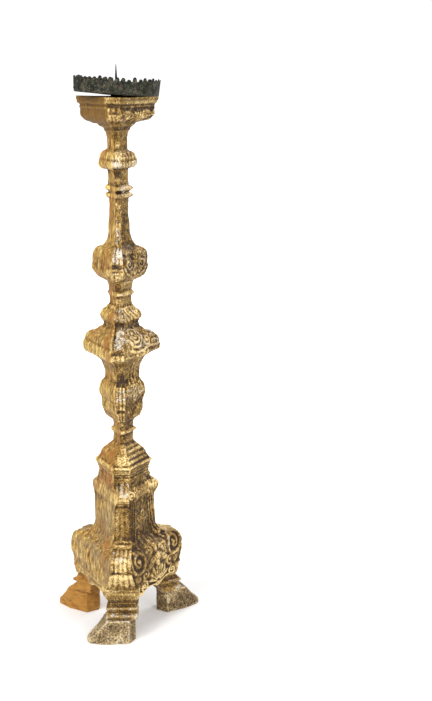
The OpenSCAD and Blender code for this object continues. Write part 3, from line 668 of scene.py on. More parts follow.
usualPlan = {
    "step": 1.1,  # mm between rows
    "tuck": 0.8,  # mm that each end goes into its neighbour
    "soften": 1.2, "dull": 0.7, "wide": 3.2,  # blurs of outline, of carving and for relief, in rows
    "rough": 0.5, "plainRough": 0.75, "sink": 0.35,  # mm
    "bead": (1.6, 1.2), "beadHigh": 0.6, "strip": (), "side": (), "plain": (),
}


def cutCarving(plan, grid, sway):
    dig = np.zeros_like(grid["across"])
    for kind, title in ((onStrip, "strip"), (onSide, "side"), (onPlain, "plain")):
        here = np.where(grid["region"] == kind)[0]
        across, z, half, nearEdge = [grid[key][:, here] for key in ("across", "height", "half", "nearEdge")]
        if kind == onPlain:
            dig[:, here] = carve(plan[title], spotAt(across, z, half))
        elif plan[title]:
            raised = carve(plan[title], spotAt(across, z, half, [one[:, here] for one in sway]))
            bead = plan["bead"][kind]
            raised = np.maximum(raised, plan["beadHigh"] * dome((nearEdge - bead / 2) / bead))
            full = np.maximum(raised, atHeight(plan["ground"], z))
            dig[:, here] = plan["depth"][kind] * (np.clip(full, 0, 1.2) - 1)
    return blurBoth(dig, plan["dull"])


def handMarks(plan, spots, isPlain):
    # uneven carving, and long chisel strokes on the plain side
    uneven = smoothNoise(spots, 9.0, 3) + 0.8 * smoothNoise(spots, 4.2, 5)
    uneven = uneven + 0.45 * smoothNoise(spots, 2.3, 7)
    strokes = 0.9 * smoothNoise(spots * np.array([1, 1, 0.28]), 4.2, 9) + 0.8 * smoothNoise(spots, 14.0, 12)
    return plan["rough"] * uneven * (1 - isPlain) + isPlain * strokes * plan["plainRough"]


def reliefValues(plan, grid, spots, surface, corner, sway):
    # how proud each spot is of what lies round it, from -1 to 1, with painted highlight and shade
    # from the mouldings' curve added, the strip's painted shade bands taken off, and the carved side
    # darkened
    region = grid["region"][None, :]
    # the outline's own curve, as painted highlight on the crowns of mouldings and painted shade in their
    # coves
    moulding = np.clip((corner - blurRows(corner, 4.0, 0, False)) / 3.0, -0.3, 0.4)
    moulding = moulding[:, None] * np.where(region == onPlain, 0.6, 1.0)
    moulding = moulding * (0.8 + 0.5 * smoothNoise(spots, 5.0, 67))
    relief = (surface - blurBoth(surface, plan["wide"])) / (1.2 + 0.4 * max(plan["depth"]))
    relief = np.clip(relief + moulding, -1, 1)
    ragged = 0.6 + 0.4 * smoothNoise(spots, 3.0, 61)
    # the strip's table is painted shade in grooves and under mouldings, and painted highlight below 0; the
    # carved side's table only darkens it at the listed heights
    for kind, title in ((onStrip, "shadingBands"), (onSide, "sideDarkening")):
        if title in plan:
            tint = atHeight(plan[title], grid["height"] + 1.6 * sway[1]) * ragged
            relief = np.where(region == kind, relief - tint, relief)
    return relief


def wearStainAndShadeValues(grid):
    region, height = grid["region"][None, :], grid["height"]
    worn = np.where(region == onStrip, atHeight(wornStrip, height), atHeight(wornSide, height))
    # on the plain side the value is grey stains above 0 and brown painted shade below 0
    worn = np.where(region == onPlain, atHeight(plainStainsAndShade, height), worn)
    return blurRows(worn, 2.0, 1, True)


def carvedBlock(name, nodes, changes):
    plan = {**usualPlan, **changes}
    low = min(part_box(n)[0].z for n in nodes) / mm
    high = max(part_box(n)[1].z for n in nodes) / mm
    z, corner, side, back = castOutline(nodes, low, high, plan["step"])
    z[0] -= plan["tuck"]
    z[-1] += plan["tuck"]
    xy, grid = layColumns(corner, side, back, plan["step"])
    rows, columns = grid["across"].shape
    grid["height"] = np.repeat(z[:, None], columns, 1)
    points, normal = softSurface(xy, grid["height"], plan["soften"])
    sway = [1.6 * smoothNoise(points, 15.0, seed) + 0.7 * smoothNoise(points, 6.0, seed + 1)
            for seed in (51, 53)]
    dig = cutCarving(plan, grid, sway)
    isPlain = np.repeat((grid["region"] == onPlain).astype(float)[None, :], rows, 0)
    isPlain = blurRows(isPlain, 0.8, 1, True)
    spots = points + np.array([axisX, axisY, 0])
    spots = spots + normal * (isPlain * atHeight(plainSwell, grid["height"]))[..., None]
    surface = dig + handMarks(plan, spots, isPlain)
    # the ends stay where they are, so that blocks meet
    fromEnd = np.minimum(np.arange(rows), np.arange(rows)[::-1])[:, None]
    move = (surface - plan["sink"]) * np.clip((fromEnd - 1) / 2.0, 0, 1)
    values = {"relief": reliefValues(plan, grid, spots, surface, corner, sway), "plain": isPlain,
              "worn": wearStainAndShadeValues(grid)}
    piece = gridMesh(name, spots + normal * move[..., None], values, giltCarving)
    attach(piece, "stand")
    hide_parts(*nodes)
    print("carved", name, rows, "x", columns)


# ---- the stem, from the top down ----

capitalPlan = {
    "depth": (2.2, 3.2), "rough": 0.6, "plainRough": 1.1,
    "ground": ((892, 0.8), (903, 0.5), (906, 0.2), (932, 0.2), (942, 0.5)),
    "strip": [
        band(937.5, 7), band(932, 3, proud=0.8), lobes(921, 930, 3, roundHigh=False, proud=1.1),
        lobes(906, 919, 3, x0=-0.8, x1=0.8, roundHigh=False), leaf((0, 906), -90, 14, 11, 2),
    ],
    "side": [
        band(937, 7.5), band(931, 3.5, proud=0.8), fan((0, 900), 5, 26, 38, 142, 5, proud=1.1),
        mirror(leaf((13, 915), 10, 30, 19, 3, proud=1.1)),
        mirror(leaf((60, 926), 200, 22, 15, 2, proud=1.1)),
        mirror(rib([(54, 911), (36, 906), (18, 904), (6, 893)], 3.6, 2.4)),
    ],
    "plain": [band(930, 5, proud=1.8), band(938.5, 5, proud=1.4)],
    "sideDarkening": ((892, 0.2), (905, 0.4), (925, 0.45), (932, 0.15), (942, 0.15)),
    "shadingBands": ((892, 0.25), (903, 0.3), (906, 0.0), (919, 0.0), (920, 0.35), (922, 0.0), (942, 0.0)),
}
boardPlan = {"depth": (1.0, 1.0), "tuck": 0.0, "rough": 0.4, "soften": 0.8}
carvedBlock("capitalCarving", ["capital"], capitalPlan)
carvedBlock("boardEdge", ["top_board"], boardPlan)

upperPlan = {
    "depth": (1.8, 1.8), "rough": 0.6,
    "ground": ((805, 0.9), (822, 0.8), (828, 0.2), (856, 0.2), (862, 0.6), (892, 0.8)),
    "strip": [
        leaf((0, 892), -90, 17, 10, 2), leaf((0, 875), -90, 15, 9, 2), leaf((0, 861), -90, 12, 8, 1),
        lobes(843, 850, 3), lobes(828, 842, 3, proud=1.15), band(824.5, 4), band(809, 6),
        leaf((0, 822), -90, 10, 8, 1, proud=0.9),
    ],
    "side": [
        mirror(rib([(9, 892), (4, 876), (6, 860)], 2.4, 1.6, proud=0.9)),
        lobes(828, 841, 6, slant=0.25, proud=1.15), lobes(842, 850, 6, slant=-0.2),
        lobes(851, 858, 4, proud=0.9), band(824.5, 4),
    ],
    "plain": [band(834, 16), band(850, 12, proud=0.8)],
    "shadingBands": ((808, 0.0), (812, 0.5), (820, 0.5), (823, 0.0)),
}
carvedBlock("upperShaftCarving", ["upper_shaft"], upperPlan)

collarPlan = {
    "depth": (1.2, 1.2), "soften": 0.5, "rough": 0.35,
    "ground": ((772, 0.7), (805, 0.7)),
    "strip": [band(782.5, 11, proud=1.2), band(795.5, 10, proud=1.2), band(803, 3)],
    "side": [lobes(777, 789, 3, slant=0.4, proud=1.2), lobes(790, 801, 4, slant=0.4, proud=1.2)],
    "plain": [
        rib([(-20, 782.5), (-9, 782.5)], 5.5, 4, proud=2.6),
        rib([(-20, 795.5), (-9, 795.5)], 5.5, 4, proud=2.6),
    ],
    "shadingBands": ((786, 0.0), (788, 0.6), (790, 0.6), (792, 0.0)),
}
carvedBlock("ringCollarCarving", ["ring_collar"], collarPlan)

pearPlan = {
    "depth": (2.2, 3.0), "rough": 0.9,
    "ground": ((637, 0.8), (645, 0.3), (700, 0.2), (712, 0.6), (772, 0.8)),
    "strip": [
        mirror(rib([(2.2, 770), (2.4, 745), (3.6, 718), (6, 702)], 1.8, 2.4, proud=0.9)),
        leaf((0, 696), 90, 32, 12, 2, proud=1.1), lobes(668, 700, 3, proud=1.15), band(660.5, 4.5),
        band(653.5, 4), leaf((0, 651), -90, 14, 16, 3),
    ],
    "side": [
        lobes(702, 772, 3, roundHigh=False, proud=0.85),
        mirror(volute((20, 668), 8.5, 1.5, 120, 0.24, proud=1.1)),
        leaf((0, 646), 90, 46, 19, 5, proud=1.1), mirror(leaf((6, 689), 8, 30, 15, 4, proud=1.1)),
        mirror(leaf((8, 662), -50, 22, 12, 3)),
        mirror(rib([(3, 645), (14, 647), (26, 653), (34, 664)], 2.8, 2.2)),
    ],
    "plain": [band(652, 10, proud=0.8), mirror(rib([(24, 655), (40, 658)], 6, 6, proud=2.0))],
    "sideDarkening": ((637, 0.2), (655, 0.45), (690, 0.55), (705, 0.35), (772, 0.2)),
    "shadingBands": ((660, 0.0), (664, 0.6), (669, 0.5), (673, 0.0)),
}
carvedBlock("pearBalusterCarving", ["pear_baluster"], pearPlan)

middlePlan = {
    "depth": (1.2, 1.2), "rough": 0.5,
    "ground": ((596, 0.8), (637, 0.8)),
    "strip": [band(613.8, 13, proud=1.2), band(602, 4, proud=1.1), lobes(622, 637, 2, proud=0.9)],
    "side": [
        lobes(608, 620, 5, slant=0.5), band(602, 4, proud=0.9), lobes(622, 637, 3, slant=0.2, proud=0.9),
    ],
}
carvedBlock("middleShaftCarving", ["middle_shaft"], middlePlan)

cushionPlan = {
    "depth": (2.0, 2.4), "rough": 0.8,
    "ground": ((558, 0.3), (596, 0.3)),
    "strip": [
        lobes(566, 586, 2, slant=0.2, proud=1.1), band(590, 4, proud=0.9),
        lobes(586, 600, 3, roundLow=False, proud=0.9),
    ],
    "side": [
        lobes(565, 586, 5, slant=0.8, proud=1.1), band(590, 4, proud=0.9),
        lobes(586, 600, 4, roundLow=False, proud=0.9),
    ],
    "plain": [band(590, 6, proud=0.9), band(573, 20, proud=1.2)],
    "shadingBands": ((557, 0.6), (562, 0.6), (566, 0.0)),
}
carvedBlock("cushionCarving", ["cushion"], cushionPlan)

scrollPlan = {
    "depth": (3.0, 3.6), "rough": 0.95,
    "ground": (
        (345, 0.9), (381, 0.9), (387, 0.3), (450, 0.2), (476, 0.7), (500, 0.6), (512, 0.2), (559, 0.3),
    ),
    "strip": [
        lobes(523, 559, 1, roundHigh=False, proud=0.95), volute((3, 545), 8, 1.2, 0, 0.26, proud=1.3),
        lobes(504, 519, 3, proud=1.1), leaf((0, 507), -90, 14, 20, 4),
        lobes(474, 492, 1, x0=-0.8, x1=0.8), lobes(427, 454, 3, proud=1.2),
        lobes(410, 428, 3, roundHigh=False, proud=1.1), lobes(386, 406, 3, proud=1.1),
        band(378, 5, proud=1.1), band(365.6, 13, proud=1.1), band(350, 4),
    ],
    "side": [
        volute((-10, 545), 11, 1.7, 200, 0.2, proud=1.15),
        rib([(-30, 536), (-22, 527), (-8, 525), (3, 531), (8, 543), (4, 556)], 2.4, 2.2),
        rib([(-34, 521), (-14, 515), (4, 516), (22, 521), (50, 520)], 3.2, 3.4, proud=1.1),
        volute((18, 532), 8.5, 1.4, 180, 0.24, proud=1.15), leaf((22, 544), -14, 30, 16, 4, proud=1.15),
        leaf((30, 528), -6, 26, 12, 3, proud=1.1),
        rib([(7, 512), (2, 500), (-2, 485), (-3, 465), (0, 450)], 3.2, 2.6, proud=1.1),
        rib([(19, 513), (12, 502), (7, 485), (6, 465), (9, 450)], 3, 2.4, proud=1.1),
        rib([(-16, 510), (-11, 496), (-11, 475), (-13, 455)], 2.8, 2.2),
        leaf((0, 456), -90, 40, 15, 4, proud=1.15), mirror(leaf((5, 453), -58, 27, 14, 3, proud=1.2)),
        mirror(leaf((16, 456), -68, 26, 12, 3, proud=1.1)),
        mirror(leaf((4, 388), 62, 34, 14, 4, proud=1.1)), band(378, 5, proud=1.1),
        band(365.6, 13, proud=1.1), band(350, 4),
    ],
    "plain": [
        band(541, 26, proud=2.2), band(515, 20, proud=2.2), band(441, 32, proud=1.8),
        band(412, 22, proud=1.8), band(366, 12),
    ],
    "sideDarkening": (
        (348, 0.1), (420, 0.25), (432, 0.0), (446, 0.0), (455, 0.25), (505, 0.25), (515, 0.1), (560, 0.1),
    ),
    "shadingBands": (
        (348, 0.0), (352, 0.4), (358, 0.4), (360, 0.0), (405, 0.0), (407, 0.5), (410, 0.5), (412, 0.0),
        (452, 0.0), (456, 0.8), (469, 0.7), (474, 0.0), (516, 0.0), (519, 0.5), (523, 0.5), (526, 0.0),
    ),
}
carvedBlock("scrollBlockCarving", ["scroll_block", "back_stave", "lower_shaft"], scrollPlan)

lowRows = [band(z, 4.2, proud=0.95) for z in (286, 291, 296, 301)]
highRows = [band(z, 6.5, proud=1.1) for z in (316, 324, 332)]
capPlan = {
    "depth": (2.6, 2.8), "rough": 0.8,
    "ground": ((281, 0.35), (310, 0.35), (320, 0.5), (345, 0.5)),
    "strip": [rib([(0, 336), (0, 319)], 9.5, 10, proud=1.6), band(307, 8, proud=1.1), *lowRows],
    "side": [band(307, 8, proud=1.1), band(339, 5, proud=0.9), *lowRows, *highRows],
    "plain": [band(307, 9, proud=2.2), band(330, 20), *lowRows],
    "sideDarkening": ((283, 0.25), (310, 0.3), (320, 0.45), (345, 0.35)),
    "shadingBands": (
        (281, 0.1), (300, 0.0), (309, 0.0), (311, 0.2), (313, 0.0), (315, -0.25), (338, -0.25),
        (341, 0.3), (345, 0.3),
    ),
}
carvedBlock("plinthCapCarving", ["plinth_cap"], capPlan)

baseSide = [
    mirror(volute((56, 146), 25, 1.8, 130, 0.17, spin=-1, proud=1.15)),
    mirror(rib([(52, 176), (43, 184), (38, 198), (36, 220), (34, 242)], 3.8, 2.6)),
    mirror(rib([(45, 168), (36, 180), (31, 196), (28, 220), (26, 246)], 3.4, 2.2, proud=0.95)),
    mirror(rib([(37, 160), (29, 174), (24, 192), (21, 220), (19, 250)], 3.2, 2, proud=0.9)),
    mirror(leaf((14, 150), 96, 62, 15, 5, proud=0.8)), leaf((-2, 146), 88, 100, 20, 7, proud=1.1),
    mirror(leaf((7, 172), -52, 52, 24, 5, proud=1.05)), rib([(0, 137), (0, 124)], 9, 5, proud=1.2),
    mirror(leaf((6, 139), -28, 30, 17, 3, proud=1.1)), fan((0, 90), 6, 33, 14, 166, 8, proud=1.1),
    mirror(volute((40, 116), 9.5, 1.4, 45, 0.24, proud=1.1)),
    mirror(volute((46, 95), 10, 1.4, 90, 0.22, proud=1.1)), mirror(leaf((72, 122), 215, 24, 13, 3)),
    mirror(leaf((4, 281), -42, 30, 15, 3)), mirror(volute((38, 258), 9, 1.4, 0, 0.24, proud=1.1)),
]

basePlan = {
    "depth": (2.6, 3.8), "step": 1.35, "rough": 0.8, "dull": 0.9, "side": baseSide, "plainRough": 1.3,
    "ground": ((103, 0.1), (176, 0.1), (184, 0.35), (235, 0.35), (245, 0.2), (281, 0.2)),
    "strip": [
        lobes(259, 281, 3, x0=-0.95, x1=0.95, proud=1.1), band(253.5, 4.5), band(248, 4.5), band(242, 5),
        lobes(179, 238, 3, x0=-0.9, x1=0.9, proud=0.9), band(175.5, 4), band(170, 5),
        lobes(136, 166, 5, proud=1.15), lobes(105, 133, 5, proud=1.15),
    ],
    "plain": [band(254, 22, proud=1.2)],
    "sideDarkening": ((103, 0.0), (112, 0.2), (125, 0.5), (170, 0.6), (230, 0.45), (250, 0.25), (281, 0.2)),
    "shadingBands": ((103, -0.1), (130, -0.1), (135, 0.45), (147, 0.35), (152, 0.0), (281, 0.0)),
}
baseParts = ["base_core", "base_corner_front", "base_corner_left", "base_corner_right"]
carvedBlock("baseCarving", baseParts, basePlan)


# ---- pieces that keep the frame's shape, softened and worn by hand ----

usualWear = {
    "rough": 0.6, "sink": 0.7,  # unevenness in mm, and the share of it that all of the surface sinks
    "calm": 1.0,  # mm that count as full relief
    "plain": 0.0, "sole": False, "shadingBands": ((0, 0), (1, 0)),
}


def keepModified(piece, name):
    # what the modifiers make becomes the piece's own mesh
    graph = bpy.context.evaluated_depsgraph_get()
    mesh = bpy.data.meshes.new_from_object(piece.evaluated_get(graph))
    piece.modifiers.clear()
    old = piece.data
    piece.data = mesh
    bpy.data.meshes.remove(old)
    mesh.name = name
    return mesh


def softenMesh(piece, name, look):
    weld = piece.modifiers.new("weld", "WELD")
    weld.merge_threshold = 0.00002
    remesh = piece.modifiers.new("remesh", "REMESH")
    remesh.mode = "VOXEL"
    remesh.voxel_size = look["voxel"] * mm
    smooth = piece.modifiers.new("smooth", "SMOOTH")
    smooth.factor = 0.6
    smooth.iterations = look["smooth"]
    return keepModified(piece, name)


def readNumbers(items, field, each, kind=float):
    numbers = np.zeros(len(items) * each, kind)
    items.foreach_get(field, numbers)
    return numbers.reshape(-1, each)


def blurOverEdges(spots, edges, times):
    for _ in range(times):
        total = np.zeros_like(spots)
        number = np.zeros(len(spots))
        for a, b in ((0, 1), (1, 0)):
            np.add.at(total, edges[:, a], spots[edges[:, b]])
            np.add.at(number, edges[:, a], 1)
        spots = total / np.maximum(number, 1)[:, None]
    return spots


def wornCopy(name, node, body, material, changes):
    look = {**usualWear, **changes}
    piece = addObject(name, frame["nodes"][node].data.copy())
    piece.data.materials.clear()
    mesh = softenMesh(piece, name, look)
    spots = readNumbers(mesh.vertices, "co", 3) / mm
    normals = readNumbers(mesh.vertex_normals, "vector", 3)
    uneven = smoothNoise(spots, 8.0, 21) + 0.6 * smoothNoise(spots, 3.2, 23)
    move = look["rough"] * uneven - look["sink"] * look["rough"]
    if "carve" in look:
        move = move + look["carve"](spots, normals)
    # a sole stays flat, and nothing goes below the piece's own foot
    floor = spots[:, 2].min()
    keep = np.clip((spots[:, 2] - floor - 0.3) / 1.5, 0, 1) if look["sole"] else 1.0
    spots = spots + normals * (move * keep)[:, None]
    spots[:, 2] = np.maximum(spots[:, 2], floor + 0.01)
    mesh.vertices.foreach_set("co", (spots * mm).reshape(-1))
    around = blurOverEdges(spots, readNumbers(mesh.edges, "vertices", 2, int), 6)
    relief = np.clip(((spots - around) * normals).sum(1) / look["calm"], -1, 1)
    # the table's painted shade bands come off the relief, and where below 0 they are painted highlight
    addValues(mesh, {"relief": relief - atHeight(look["shadingBands"], spots[:, 2]),
                     "plain": np.full(len(spots), look["plain"]),
                     "worn": atHeight(look["worn"], spots[:, 2])})
    shadeSmooth(mesh, material)
    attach(piece, body)
    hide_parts(node)
    print("worn", name, len(spots))


def apronCarving(turn, depth, edgeHalf):
    # the carving of the base runs on over the aprons, down to a rounded lower edge
    a = math.radians(turn)
    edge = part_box("apron_left")[0].z / mm

    def cut(spots, normals):
        x = -(spots[:, 0] - axisX) * math.sin(a) + (spots[:, 1] - axisY) * math.cos(a)
        facing = np.clip(normals[:, 0] * math.cos(a) + normals[:, 1] * math.sin(a), 0, 1) ** 2
        raised = np.clip(carve(baseSide, spotAt(x, spots[:, 2], 60)), 0, 1.1)
        low = dome((spots[:, 2] - edge - edgeHalf) / edgeHalf)
        return facing * depth * (np.maximum(raised, low) - 1)
    return cut


hoofLook = {
    "voxel": 1.1, "smooth": 4, "sole": True, "worn": ((0, 0.8), (5, 0.45), (36, 0.4), (45, 0.7)),
}
ankleLook = {
    "voxel": 1.0, "smooth": 2, "calm": 2.2,
    "worn": ((44, 0.5), (48, 0.7), (54, 0.7), (57, 0.35), (60, 0.6), (66, 0.65), (69, 0.35), (76, 0.1),
             (103, 0.0)),
    "shadingBands": ((54, 0.0), (56, 0.25), (59, 0.25), (61, 0.0), (66, 0.0), (69, 0.35), (74, 0.35),
               (78, -0.1), (103, -0.1)),
}
apronLook = {"voxel": 1.1, "smooth": 2, "worn": ((0, 0.2), (1, 0.2))}
wornCopy("frontHoof", "hoof_front", "stand", giltFoot, hoofLook)
wornCopy("leftHoof", "hoof_left", "stand", giltFoot, hoofLook)
wornCopy("rightHoof", "hoof_right", "stand", bareWood, hoofLook)
wornCopy("frontAnkle", "ankle_front", "stand", giltCarving, ankleLook)
wornCopy("leftAnkle", "ankle_left", "stand", giltCarving, ankleLook)
wornCopy("rightAnkle", "ankle_right", "stand", bareWood, ankleLook)
leftCarving = {**apronLook, "carve": apronCarving(210, 3.5, 4)}
rightCarving = {**apronLook, "carve": apronCarving(-30, 3.5, 4)}
wornCopy("leftApron", "apron_left", "stand", giltCarving, leftCarving)
wornCopy("rightApron", "apron_right", "stand", giltCarving, rightCarving)
wornCopy("backApron", "apron_back", "stand", giltCarving, {**apronLook, "plain": 1.0})


# ---- the dowels keep the frame's own meshes ----

def finishNode(node, material):
    mesh = frame["nodes"][node].data
    mesh.materials.clear()
    mesh.materials.append(material)


finishNode("stem_dowels", bareWood)
finishNode("foot_dowels", bareWood)
print("dowels finished")


# ---- the loose drip pan, in its own leaning frame ----

turnJoint = next(j for j in frame["joints"] if j["name"] == "pan_turn")
panCentre = Vector(turnJoint["pos_m"])
panUp = Vector(turnJoint["axis"]).normalized()
panLow = Vector((panUp.x, panUp.y, 0)).normalized()
panAlong = (panLow - panUp * panLow.dot(panUp)).normalized()
panAcross = panUp.cross(panAlong)


def leanWithPan(mesh):
    for v in mesh.vertices:
        v.co = panCentre + panAlong * v.co.x + panAcross * v.co.y + panUp * v.co.z
    mesh.update()


def turnedShape(name, profile, look, material):
    # the profile goes round the section once, in mm; a radius of 0 becomes one point
    sides, rough = look["sides"], look["rough"]
    rings, faces, spots = [], [], []
    for r, h in profile:
        count = sides if r else 1
        rings.append(range(len(spots), len(spots) + count))
        turns = [2 * math.pi * i / sides for i in range(count)]
        spots += [(r * math.cos(turn), r * math.sin(turn), h) for turn in turns]
    closed = all(r for r, _ in profile)
    for low, high in zip(rings, rings[1:] + rings[:1] if closed else rings[1:]):
        for i in range(sides):
            k = (i + 1) % sides
            loop = [low[i % len(low)], low[k % len(low)], high[k % len(high)], high[i % len(high)]]
            faces.append(list(dict.fromkeys(loop)))
    spots = np.array(spots)
    wobble = rough * (0.5 + 0.5 * smoothNoise(spots, 14.0, 31))
    spots[:, :2] *= 1 - wobble[:, None] / np.maximum(40, spots[:, :2].max())
    spots[:, 2] += rough * 0.35 * smoothNoise(spots * np.array([1, 1, 0.2]), 16.0, 33)
    mesh = bpy.data.meshes.new(name)
    mesh.from_pydata((spots * mm).tolist(), [], faces)
    shadeSmooth(mesh, material)
    return addObject(name, mesh)


# ---- dish: pairs of radius and height ----

dishLook = {
    "hole": 7.2, "floorEdge": 69.2, "sides": 160, "rough": 0.5,
    "wall": ((70.0, 0.5), (70.4, 1.6), (70.9, 4.5), (71.4, 8.0), (71.6, 11.6), (71.2, 12.0)),
    "inside": ((70.5, 11.7), (70.1, 8.0), (69.6, 4.5), (69.2, 2.2), (68.2, 1.35)),
}


def dishProfile(look):
    # the floor out to its corner, the wall up, and back down inside
    def sag(r):
        return max(0, min(0.3 * (r - 11), 0.06 * (66 - r)))

    floor = [(r, 0.15 - sag(r)) for r in np.linspace(look["hole"], look["floorEdge"], 34)]
    back = [(r, 1.15 - sag(r)) for r in np.linspace(67.0, 7.6, 33)]
    return [*floor, *look["wall"], *look["inside"], *back, (look["hole"], 0.9)]


dish = turnedShape("spunDish", dishProfile(dishLook), dishLook, agedSheet)
leanWithPan(dish.data)
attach(dish, "pan")
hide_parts("drip_pan")


# ---- forged spike, with a long point ----

spikeLook = {"radius": 2.4, "lost": 2.0, "point": 39.0, "sides": 28, "rough": 0.0}


def spikeProfile(low, high, look):
    radius, point = look["radius"], look["point"]
    rows = [(0, low + 0.2), (1.9, low + 0.2), (radius, low + 1.0)]
    rows += [(radius, low + h) for h in np.linspace(4, high - low - 39.5, 14)]
    rows += [(radius - look["lost"] * t ** 1.8, high - 39.4 + point * t) for t in np.linspace(0.03, 1, 22)]
    return rows + [(0, high - 0.1)]


def forge(mesh):
    # slightly bent, with hammered flats, and moved onto the stand's axis
    spots = np.array([v.co for v in mesh.vertices]) / mm
    bend = 0.12 * smoothNoise(spots * np.array([0, 0, 1]), 12.0, 41)
    flat = np.clip(1 - 0.10 * (0.5 + 0.5 * smoothNoise(spots, 5.0, 43)), 0, 1)
    spots[:, 0] = spots[:, 0] * flat + bend + axisX
    spots[:, 1] = spots[:, 1] * flat + axisY
    mesh.vertices.foreach_set("co", (spots * mm).reshape(-1))


spikeShape = spikeProfile(spikeLow.z / mm, spikeHigh.z / mm, spikeLook)
spike = turnedShape("forgedSpike", spikeShape, spikeLook, darkIron)
forge(spike.data)
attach(spike, "stand")
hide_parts("pricket")


# ---- washer under the pan ----

washerLook = {"inner": 4.1, "flatFrom": 4.6, "flatTo": 8.8, "outer": 9.9, "sides": 48, "rough": 0.2}
washerLow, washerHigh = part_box("pan_washer")
washerTop = (washerHigh.z - washerLow.z) / mm


def washerProfile(top, look):
    inner, flatFrom, flatTo, outer = look["inner"], look["flatFrom"], look["flatTo"], look["outer"]
    below = [(inner, 0.3), (flatFrom, 0.05), (flatTo, 0.05), (9.7, 0.5), (outer, top * 0.5)]
    return below + [(9.6, top - 0.4), (flatTo, top - 0.05), (flatFrom, top - 0.05), (inner, top - 0.4)]


washer = turnedShape("panWasher", washerProfile(washerTop, washerLook), washerLook, darkIron)
for v in washer.data.vertices:
    v.co += Vector((axisX * mm, axisY * mm, washerLow.z))
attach(washer, "pan_seat")
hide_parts("pan_washer")


# ---- geometry nodes: the lobed band and its rivets, in metres ----

def startTree(name, inputs):
    tree = bpy.data.node_groups.new(name, "GeometryNodeTree")
    tree.interface.new_socket("Geometry", in_out="INPUT", socket_type="NodeSocketGeometry")
    for title, value in inputs.items():
        kind = "NodeSocketInt" if isinstance(value, int) else "NodeSocketFloat"
        tree.interface.new_socket(title, in_out="INPUT", socket_type=kind).default_value = value
    tree.interface.new_socket("Geometry", in_out="OUTPUT", socket_type="NodeSocketGeometry")
    return tree, addNode(tree, "NodeGroupInput").outputs, addNode(tree, "NodeGroupOutput")


def shapeNode(tree, kind, inputs, **settings):
    return addNode(tree, "GeometryNode" + kind, inputs, **settings).outputs[0]


def endTree(tree, result, geometry, material):
    real = shapeNode(tree, "RealizeInstances", {"Geometry": geometry})
    smooth = shapeNode(tree, "SetShadeSmooth", {"Geometry": real})
    painted = shapeNode(tree, "SetMaterial", {"Geometry": smooth, "Material": material})
    setInputs(tree, result, {"Geometry": painted})


def growPiece(name, tree, settings):
    piece = addObject(name, bpy.data.meshes.new(name))
    modifier = piece.modifiers.new("grow", "NODES")
    modifier.node_group = tree
    for item in tree.interface.items_tree:
        if item.in_out == "INPUT" and item.name in settings:
            modifier[item.identifier] = settings[item.name]
    keepModified(piece, name)
    return piece


def calcFor(tree):
    def calc(operation, a, b=0.0, c=0.0):
        return addNode(tree, "ShaderNodeMath", {0: a, 1: b, 2: c}, operation=operation).outputs[0]
    return calc


def joinXYZ(tree, x=0.0, y=0.0, z=0.0):
    return addNode(tree, "ShaderNodeCombineXYZ", {"X": x, "Y": y, "Z": z}).outputs[0]


bandLook = {
    "Low Radius": 0.07095, "High Radius": 0.0739, "Band Height": 0.0195, "Lobes": 44,
    "Lobe Height": 0.009, "Lobe Width": 0.76, "Sheet": 0.0011, "Dents": 0.0011, "Columns Each": 18,
    "Seed": 11,
}


def lobeTop(tree, given, around):
    # how high the sheet reaches; each lobe has its own height, and some are broken off, three of
    # them next to each other
    calc = calcFor(tree)
    share = calc("MULTIPLY", around, given["Lobes"])
    number = calc("FLOOR", calc("MINIMUM", share, calc("SUBTRACT", given["Lobes"], 0.5)))
    inLobe = calc("MULTIPLY", calc("SUBTRACT", calc("SUBTRACT", share, number), 0.5), 2.0)
    across = calc("MINIMUM", calc("DIVIDE", calc("ABSOLUTE", inLobe), given["Lobe Width"]), 1.0)
    luck = addNode(tree, "ShaderNodeTexWhiteNoise", {"W": calc("ADD", number, given["Seed"])},
                   noise_dimensions="1D").outputs["Value"]
    broken = calc("LESS_THAN", luck, 0.1)
    farOne = calc("LESS_THAN", calc("ABSOLUTE", calc("SUBTRACT", number, 21.0)), 1.5)
    left = calc("SUBTRACT", 1.0, calc("MULTIPLY", calc("MAXIMUM", broken, farOne), 0.86))
    tall = calc("MULTIPLY", calc("MULTIPLY_ADD", luck, 0.45, 0.5), left)
    arch = calc("POWER", calc("MAXIMUM", calc("SUBTRACT", 1.0, calc("POWER", across, 2.4)), 0.0), 0.42)
    rise = calc("MULTIPLY", calc("MULTIPLY", arch, tall), given["Lobe Height"])
    return calc("ADD", given["Band Height"], rise)


def bentPlace(tree, given):
    # where each spot of a flat square goes on the flaring, dented band
    calc = calcFor(tree)
    spot = addNode(tree, "ShaderNodeSeparateXYZ", {"Vector": shapeNode(tree, "InputPosition", {})}).outputs
    around = calc("ADD", spot["X"], 0.5)
    turn = calc("MULTIPLY", around, 2 * math.pi)
    cosine, sine = calc("COSINE", turn), calc("SINE", turn)
    # rows crowd towards the lobes, so the notches stay crisp
    row = calc("POWER", calc("ADD", spot["Y"], 0.5), 0.6)
    high = calc("MULTIPLY", row, lobeTop(tree, given, around))
    where = joinXYZ(tree, calc("MULTIPLY", cosine, 2.0), calc("MULTIPLY", sine, 2.0),
                    calc("MULTIPLY", high, 40.0))
    noise = addNode(tree, "ShaderNodeTexNoise", {"Scale": 2.3, "Detail": 3.0, "Vector": where})
    flare = calc("MULTIPLY", calc("SUBTRACT", given["High Radius"], given["Low Radius"]),
                 calc("DIVIDE", high, calc("ADD", given["Band Height"], given["Lobe Height"])))
    dent = calc("MULTIPLY", calc("MULTIPLY", noise.outputs["Fac"], given["Dents"]), calc("ADD", row, 0.15))
    radius = calc("SUBTRACT", calc("ADD", given["Low Radius"], flare), dent)
    return joinXYZ(tree, calc("MULTIPLY", cosine, radius), calc("MULTIPLY", sine, radius), high)


